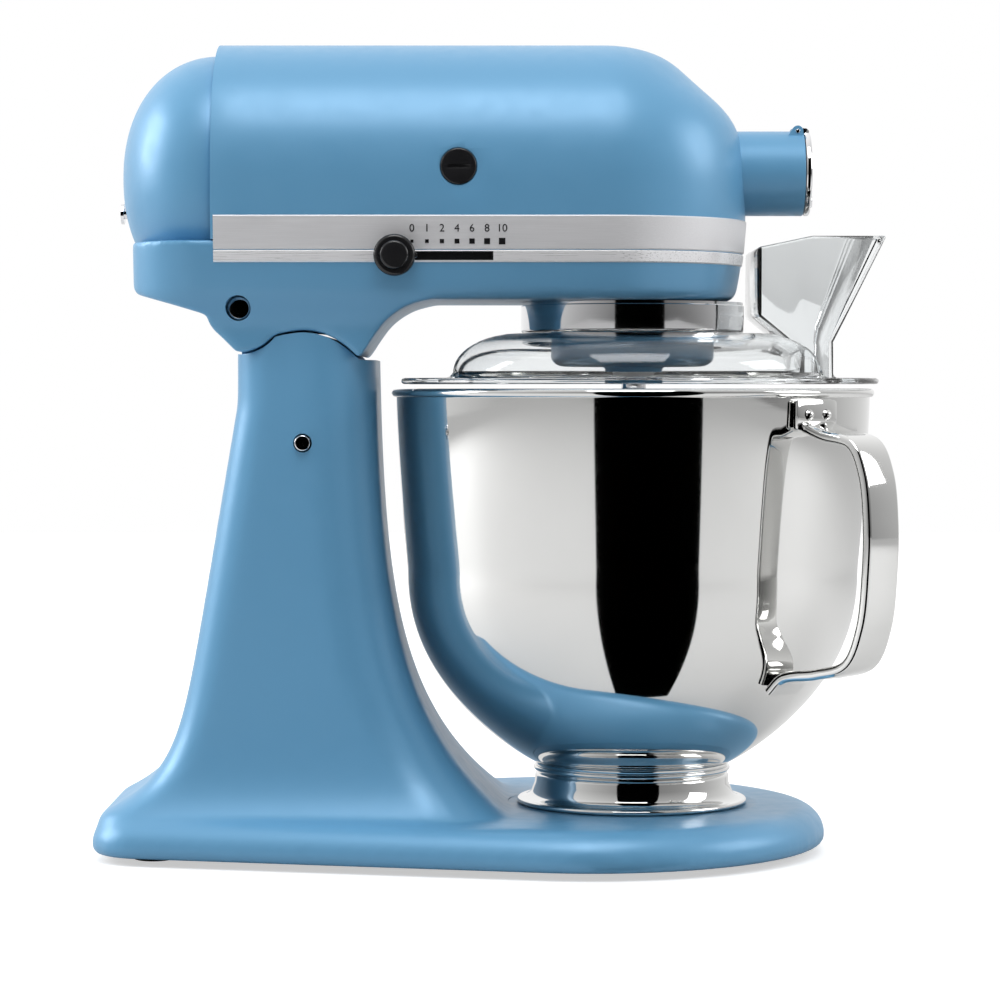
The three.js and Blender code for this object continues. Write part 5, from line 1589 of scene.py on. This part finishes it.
# ------------------------------------------------------------------ bowl
@dataclass
class Bowl:
    """Polished bowl with a rolled rim, its foot, and the strap handle."""

    rim_radius: float = 104.6 * MM
    floor_radius: float = 43 * MM
    wall: float = 1.6 * MM
    bead: float = 1.9 * MM
    straight: float = 0.52
    lean: float = 5.2 * MM
    angle: float = math.radians(-46)
    strap_width: float = 20 * MM
    strap: float = 4.5 * MM

    def radius(self, share: float) -> float:
        """Outer radius at a share of the bowl's height.

        Args:
            share: 0 at the bottom, 1 at the rim.

        Returns:
            The radius.
        """
        if share >= self.straight:
            return self.rim_radius - self.lean * ((1 - share) / (1 - self.straight)) ** 1.4
        fall = (self.straight - share) / self.straight
        wide = self.rim_radius - self.lean
        return self.floor_radius + (wide - self.floor_radius) * (1 - fall**2.25) ** 0.9

    def build(self) -> None:
        """Makes the bowl, foot, handle and rivets."""
        height = RIM - BOWL_LOW
        shares = 1 - np.cos(np.linspace(0, np.pi / 2, 60))
        shares = shares * (1 - 2 * self.bead / height) / shares[-1]
        outer = [(self.radius(s), BOWL_LOW + s * height) for s in shares]
        bead = arc((self.rim_radius, RIM - self.bead), self.bead, -75, 190, 22)
        inner = [(
            self.radius(s) - self.wall, BOWL_LOW + self.wall + s * (height - self.wall),
        ) for s in shares[::-1]]
        profile = [(0, BOWL_LOW), *outer, *bead, *inner, (0, BOWL_LOW + self.wall)]
        shown(turned("bowl", profile, steps=256), "bowl_shell", "bowl", Finish.BOWL_STEEL, ["bowl"], 50)
        self.foot()
        self.handle()

    def foot(self) -> None:
        """Turned foot: flange, waist and the grooved ring under the bowl."""
        low, high = FOOT_LOW, D.high("bowl_foot").z
        r = self.floor_radius
        flange = D.high("bowl_foot").x - 0.1 * MM
        inner = 39.2 * MM
        profile = [(inner, low), *arc((flange - 1.1 * MM, low + 1.1 * MM), 1.1 * MM, -90, 90, 10)]
        profile += arc((flange - 1.6 * MM, low + 7.4 * MM), 5.2 * MM, 270, 200, 8)
        profile += [
            (r, low + 9 * MM), (r - 0.1 * MM, high - 6 * MM), (r - 0.5 * MM, high - 5 * MM),
            (r - 1.4 * MM, high - 4.4 * MM),
        ]
        profile += arc((r - 0.6 * MM, high - 2.4 * MM), 1.2 * MM, -90, 90, 8)
        profile += [
            (r - 0.4 * MM, high - 0.6 * MM), (r - 0.4 * MM, high), (r - 3 * MM, high),
            (r - 3 * MM, low + 6 * MM), (inner, low + 6 * MM),
        ]
        shown(turned("foot", profile, steps=192), "bowl_base", "bowl", Finish.BOWL_STEEL, ["bowl_foot"], 40)

    def strap_line(self) -> np.ndarray:
        """Centre line of the strap: radius and height, from the rim plate round to the lower wall.

        Returns:
            Radius and height of each point.
        """
        out = self.rim_radius + 39 * MM - self.strap / 2 - 0.3 * MM
        wall = self.rim_radius + 0.8 * MM + self.strap / 2
        drop = RIM - 203 * MM
        rows = [
            (wall - 1 * MM, 187), (wall + 9 * MM, 183.6), (out - 9 * MM, 180), (out - 2.6 * MM, 168),
            (out, 148), (out - 0.4 * MM, 128), (out - 3.5 * MM, 104), (out - 11 * MM, 89),
            (out - 27 * MM, 84), (out - 46 * MM, 81), (out - 53 * MM, 75),
        ]
        return curve_through([(r, z * MM + drop) for r, z in rows], 120)

    def handle(self) -> None:
        """Strap handle with a rounded section, welded below and riveted to the rim plate above."""
        line = self.strap_line()
        tangent = np.gradient(line, axis=0)
        tangent /= np.linalg.norm(tangent, axis=1)[:, None]
        normal = np.column_stack([-tangent[:, 1], tangent[:, 0]])
        edge = 1.7 * MM
        half, thick = self.strap_width / 2, self.strap / 2
        section = arc((half - edge, thick - edge), edge, 0, 90, 5) + arc(
            (edge - half, thick - edge), edge, 90, 180, 5,
        )
        section += arc((edge - half, edge - thick), edge, 180, 270, 5) + arc(
            (half - edge, edge - thick), edge, 270, 360, 5,
        )
        rings = []
        for place, side in zip(line, normal):
            rings.append([(place[0] + b * side[0], a, place[1] + b * side[1]) for a, b in section])
        strap = lofted("strap", np.array(rings))
        plate = self.rim_plate()
        turn = Matrix.Rotation(self.angle, 4, "Z")
        moved(strap, turn)
        body = gathered(strap, moved(plate, turn))
        shown(body, "bowl_grip", "bowl", Finish.BOWL_STEEL, ["bowl_handle"], 40)
        for i, side in enumerate((-1, 1)):
            dome = [(0, 0), (2.4 * MM, 0), *arc((0, -0.6 * MM), 2.4 * MM, 20, 90, 6)]
            reach = self.rim_radius + 2.9 * MM
            rivet = along(turned("rivet", dome, steps=32), "x", (reach, side * 5.6 * MM, RIM - 11 * MM))
            moved(rivet, turn)
            shown(rivet, f"rivet_{i + 1}", "bowl", Finish.BOWL_STEEL, [f"handle_rivet_{i + 1}"])

    def rim_plate(self) -> bpy.types.Object:
        """Curved plate under the rim that carries the strap.

        Returns:
            The plate.
        """
        inner = self.rim_radius + 0.7 * MM
        outer = inner + 2.2 * MM
        half = 13 * MM / outer
        low, high = RIM - 18 * MM, RIM - 2 * self.bead - 0.6 * MM
        turns = np.linspace(-half, half, 25)
        rings = []
        for t in turns:
            ease = 1.2 * MM * (abs(t) / half) ** 8
            corners = [(inner, low + ease), (outer, low + ease), (outer, high - ease), (inner, high - ease)]
            rings.append([(r * math.cos(t), r * math.sin(t), z) for r, z in corners])
        return eased(lofted("plate", np.array(rings)), 0.5 * MM, 2)


# ------------------------------------------------------------------ shield
@dataclass
class Shield:
    """Clear pouring shield with a slot to the back, and its clear chute."""

    crown: float = 62 * MM
    wall_radius: float = 88 * MM
    flange: float = 108.4 * MM
    skin: float = 2 * MM
    mouth: float = 39.5 * MM
    chute_half: float = 34 * MM

    def build(self) -> None:
        """Makes the shield and the chute."""
        low, high, t = SHIELD_LOW, SHIELD_TOP, self.skin

        def dome(inset: float) -> list[Point2]:
            """Shoulder from the crown down to the wall.

            Args:
                inset: how far the shoulder is drawn in.

            Returns:
                Radius and height pairs.
            """
            drop = high - low - 5 * MM - inset
            return [
                (
                    self.crown + (self.wall_radius - self.crown - inset) * math.sin(a),
                    high - inset - drop * (1 - math.cos(a)),
                )
                for a in np.linspace(0, np.pi / 2, 20)
            ]

        profile = [
            (36 * MM, high - t), (36 * MM, high), *dome(0),
            (self.wall_radius + 1.2 * MM, low + t + 1.4 * MM),
        ]
        profile += [
            (self.wall_radius + 3 * MM, low + t + 0.6 * MM), (self.flange - 1 * MM, low + t + 0.6 * MM),
        ]
        profile += arc((self.flange - 1.3 * MM, low + 1.3 * MM), 1.3 * MM, 90, -90, 8)
        profile += [(self.wall_radius - t, low), *dome(t)[::-1]]
        skin = turned("skin", profile, steps=192)
        mouth = block("mouth", (-0.12, -self.mouth, low - MM), (0, self.mouth, high + MM))
        throat = plug("throat", self.mouth, low - MM, high + MM)
        cut(skin, mouth, throat, self.chute_solid(-2.3 * MM, -1 * MM))
        shown(eased(skin, 0.35 * MM, 2, 40), "splash_shield", "shield", Finish.CLEAR, ["pouring_shield"])
        outer = self.chute_solid(0, 0)
        shown(self.hollowed(outer), "shield_chute", "shield", Finish.CLEAR, ["pouring_chute"])

    def chute_solid(self, inset: float, top: float) -> bpy.types.Object:
        """Solid of the chute: a funnel whose throat drops through the shield.

        Args:
            inset: wall that is left outside it.
            top: height of the upper end.

        Returns:
            The solid.
        """
        back = HEAD.front + 2.5 * MM + inset
        low, high = SHIELD_LOW + 1.2 * MM, SHIELD_TOP + 42 * MM + top
        throat_front = back + 33 * MM - 2 * inset
        section = [
            (back + 18 * MM, low), (throat_front, low), (throat_front, SHIELD_TOP - 4 * MM),
            (self.flange - inset, high), (back + 24 * MM, high), (back, high - 5 * MM),
            (back, SHIELD_TOP + 8 * MM), (back + 18 * MM, SHIELD_TOP - 7 * MM),
        ]
        half = self.chute_half - inset
        return pushed("chute", section, -half, half)

    def hollowed(self, outer: bpy.types.Object) -> bpy.types.Object:
        """Chute with its bore cut through from the mouth to the throat."""
        eased(outer, 1.6 * MM, 4)
        return eased(cut(outer, self.chute_solid(self.skin, 8 * MM)), 0.3 * MM, 2, 40)


# ------------------------------------------------------------------ everything that keeps its frame shape
def dress_rest() -> None:
    """Gives every frame node the finish of its slot."""
    by_slot = {finish.slot: finish for finish in Finish}
    slots = {part["node"]: part["material_slot"] for part in frame["record"]["subparts"]}
    for name, node in frame["nodes"].items():
        material = by_slot[slots[name]].material()
        if not node.material_slots:
            node.data.materials.append(material)
        for place in node.material_slots:
            place.material = material


# ------------------------------------------------------------------ studio
@dataclass
class Studio:
    """Camera, pale floor, soft lights and the dark cards that the bowl mirrors."""

    distance: float = 1.400
    aim_x: float = -58.5 * MM
    aim_z: float = 154 * MM
    eye_z: float = 204 * MM
    lens: float = 113.8
    card_distance: float = 2.3
    card_left: float = -10.2
    card_right: float = 15.6

    def camera(self) -> None:
        """Camera in front of the control side, level with the bowl's rim."""
        data = bpy.data.cameras.new("camera")
        data.lens = self.lens
        data.sensor_width = 36
        data.clip_end = 30
        camera = bpy.data.objects.new("camera", data)
        bpy.context.scene.collection.objects.link(camera)
        camera.location = D.shift + Vector((self.aim_x, -self.distance, self.eye_z))
        aim = Vector((0, self.distance, self.aim_z - self.eye_z))
        camera.rotation_euler = aim.to_track_quat("-Z", "Y").to_euler()
        bpy.context.scene.camera = camera

    def floor(self) -> None:
        """Large pale floor, a little brighter to the eye than what it casts back."""
        half = 3.0
        corners = np.array([(-half, -half, 0), (half, -half, 0), (half, half, 0), (-half, half, 0)])
        plane = from_faces("floor", corners, [(0, 1, 2, 3)])
        wires = Wires("pale_floor").set(Roughness=0.6, Emission_Color=(1, 1, 1, 1))
        wires.tinted(wires.noise(6), (0.58, 0.58, 0.58), (0.60, 0.60, 0.60))
        wires.tree.links.new(wires.eye(0.0, 0.55), wires.surface.inputs["Emission Strength"])
        plane.data.materials.append(wires.material)

    def card(self, name: str, edges: Sequence[tuple[float, float]]) -> None:
        """Dark card that only mirrors see.

        Args:
            name: the card's name.
            edges: reach from the bowl and height of its two long edges.
        """
        rim = D.high("bowl").x
        corners = []
        for reach, level in edges:
            for side in (self.card_left, self.card_right):
                place = math.radians(side)
                x = rim * math.sin(place) + reach * math.sin(2 * place)
                y = -rim * math.cos(place) - reach * math.cos(2 * place)
                corners.append((D.shift.x + x, D.shift.y + y, level))
        card = from_faces(name, np.array(corners), [(0, 1, 3, 2)])
        wires = Wires(name).set(Base_Color=(0, 0, 0, 1), Roughness=1.0, Specular_IOR_Level=0.0)
        card.data.materials.append(wires.material)
        for ray in ("camera", "diffuse", "shadow", "transmission", "volume_scatter"):
            setattr(card, f"visible_{ray}", False)

    def lamp(self, name: str, at: Sequence[float], size: float, power: float) -> None:
        """Soft square light aimed at the mixer.

        Args:
            name: name of the light.
            at: where it hangs.
            size: side of its square.
            power: watts.
        """
        data = bpy.data.lights.new(name, "AREA")
        data.size = size
        data.energy = power
        lamp = bpy.data.objects.new(name, data)
        bpy.context.scene.collection.objects.link(lamp)
        lamp.location = at
        lamp.rotation_euler = (Vector((0, 0, 0.15)) - Vector(at)).to_track_quat("-Z", "Y").to_euler()

    def world(self) -> None:
        """White surround, whose light is strongest from above and behind."""
        world = bpy.data.worlds.new("studio")
        world.use_nodes = True
        tree = world.node_tree
        new, join = tree.nodes.new, tree.links.new
        sky = tree.nodes["Background"]
        way = new("ShaderNodeTexCoord").outputs["Generated"]
        lean = new("ShaderNodeVectorMath")
        lean.operation = "DOT_PRODUCT"
        lean.inputs[1].default_value = (-0.14, 0.40, 0.42)
        join(way, lean.inputs[0])
        level = new("ShaderNodeMath")
        level.operation = "ADD"
        level.inputs[1].default_value = 0.56
        join(lean.outputs["Value"], level.inputs[0])
        mix = new("ShaderNodeMix")
        mix.inputs["B"].default_value = 1.0
        join(new("ShaderNodeLightPath").outputs["Is Camera Ray"], mix.inputs["Factor"])
        join(level.outputs["Value"], mix.inputs["A"])
        join(mix.outputs["Result"], sky.inputs["Strength"])
        sky.inputs["Color"].default_value = (1, 1, 1, 1)
        bpy.context.scene.world = world

    def build(self) -> None:
        """Makes the whole set."""
        self.camera()
        self.floor()
        self.card("wall_card", [(self.card_distance, 0.0), (self.card_distance, 3.0)])
        self.card("floor_card", [(0.0, 2 * MM), (self.card_distance, 2 * MM)])
        self.world()
        bpy.context.scene.view_settings.view_transform = "Standard"
        self.lamp("top_light", (0.0, -0.9, 1.7), 1.0, 16)
        self.lamp("left_light", (-1.8, 0.25, 0.9), 1.0, 22)
        self.lamp("right_light", (1.7, -0.2, 0.9), 0.8, 10)


def main() -> None:
    """Builds the set and every sub-assembly, in order."""
    logging.basicConfig(level=logging.INFO, format="%(name)s: %(message)s")
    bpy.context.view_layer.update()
    Studio().build()
    dress_rest()
    makers: list[Callable[[], None]] = [
        Pedestal().build,
        SmallFittings().build,
        Housings().build,
        RearCover().build,
        Trim().build,
        SpeedControl().build,
        HubParts().build,
        MixingHead().build,
        Bowl().build,
        Shield().build,
    ]
    for make in makers:
        make()


if __name__ == "__main__":
    main()
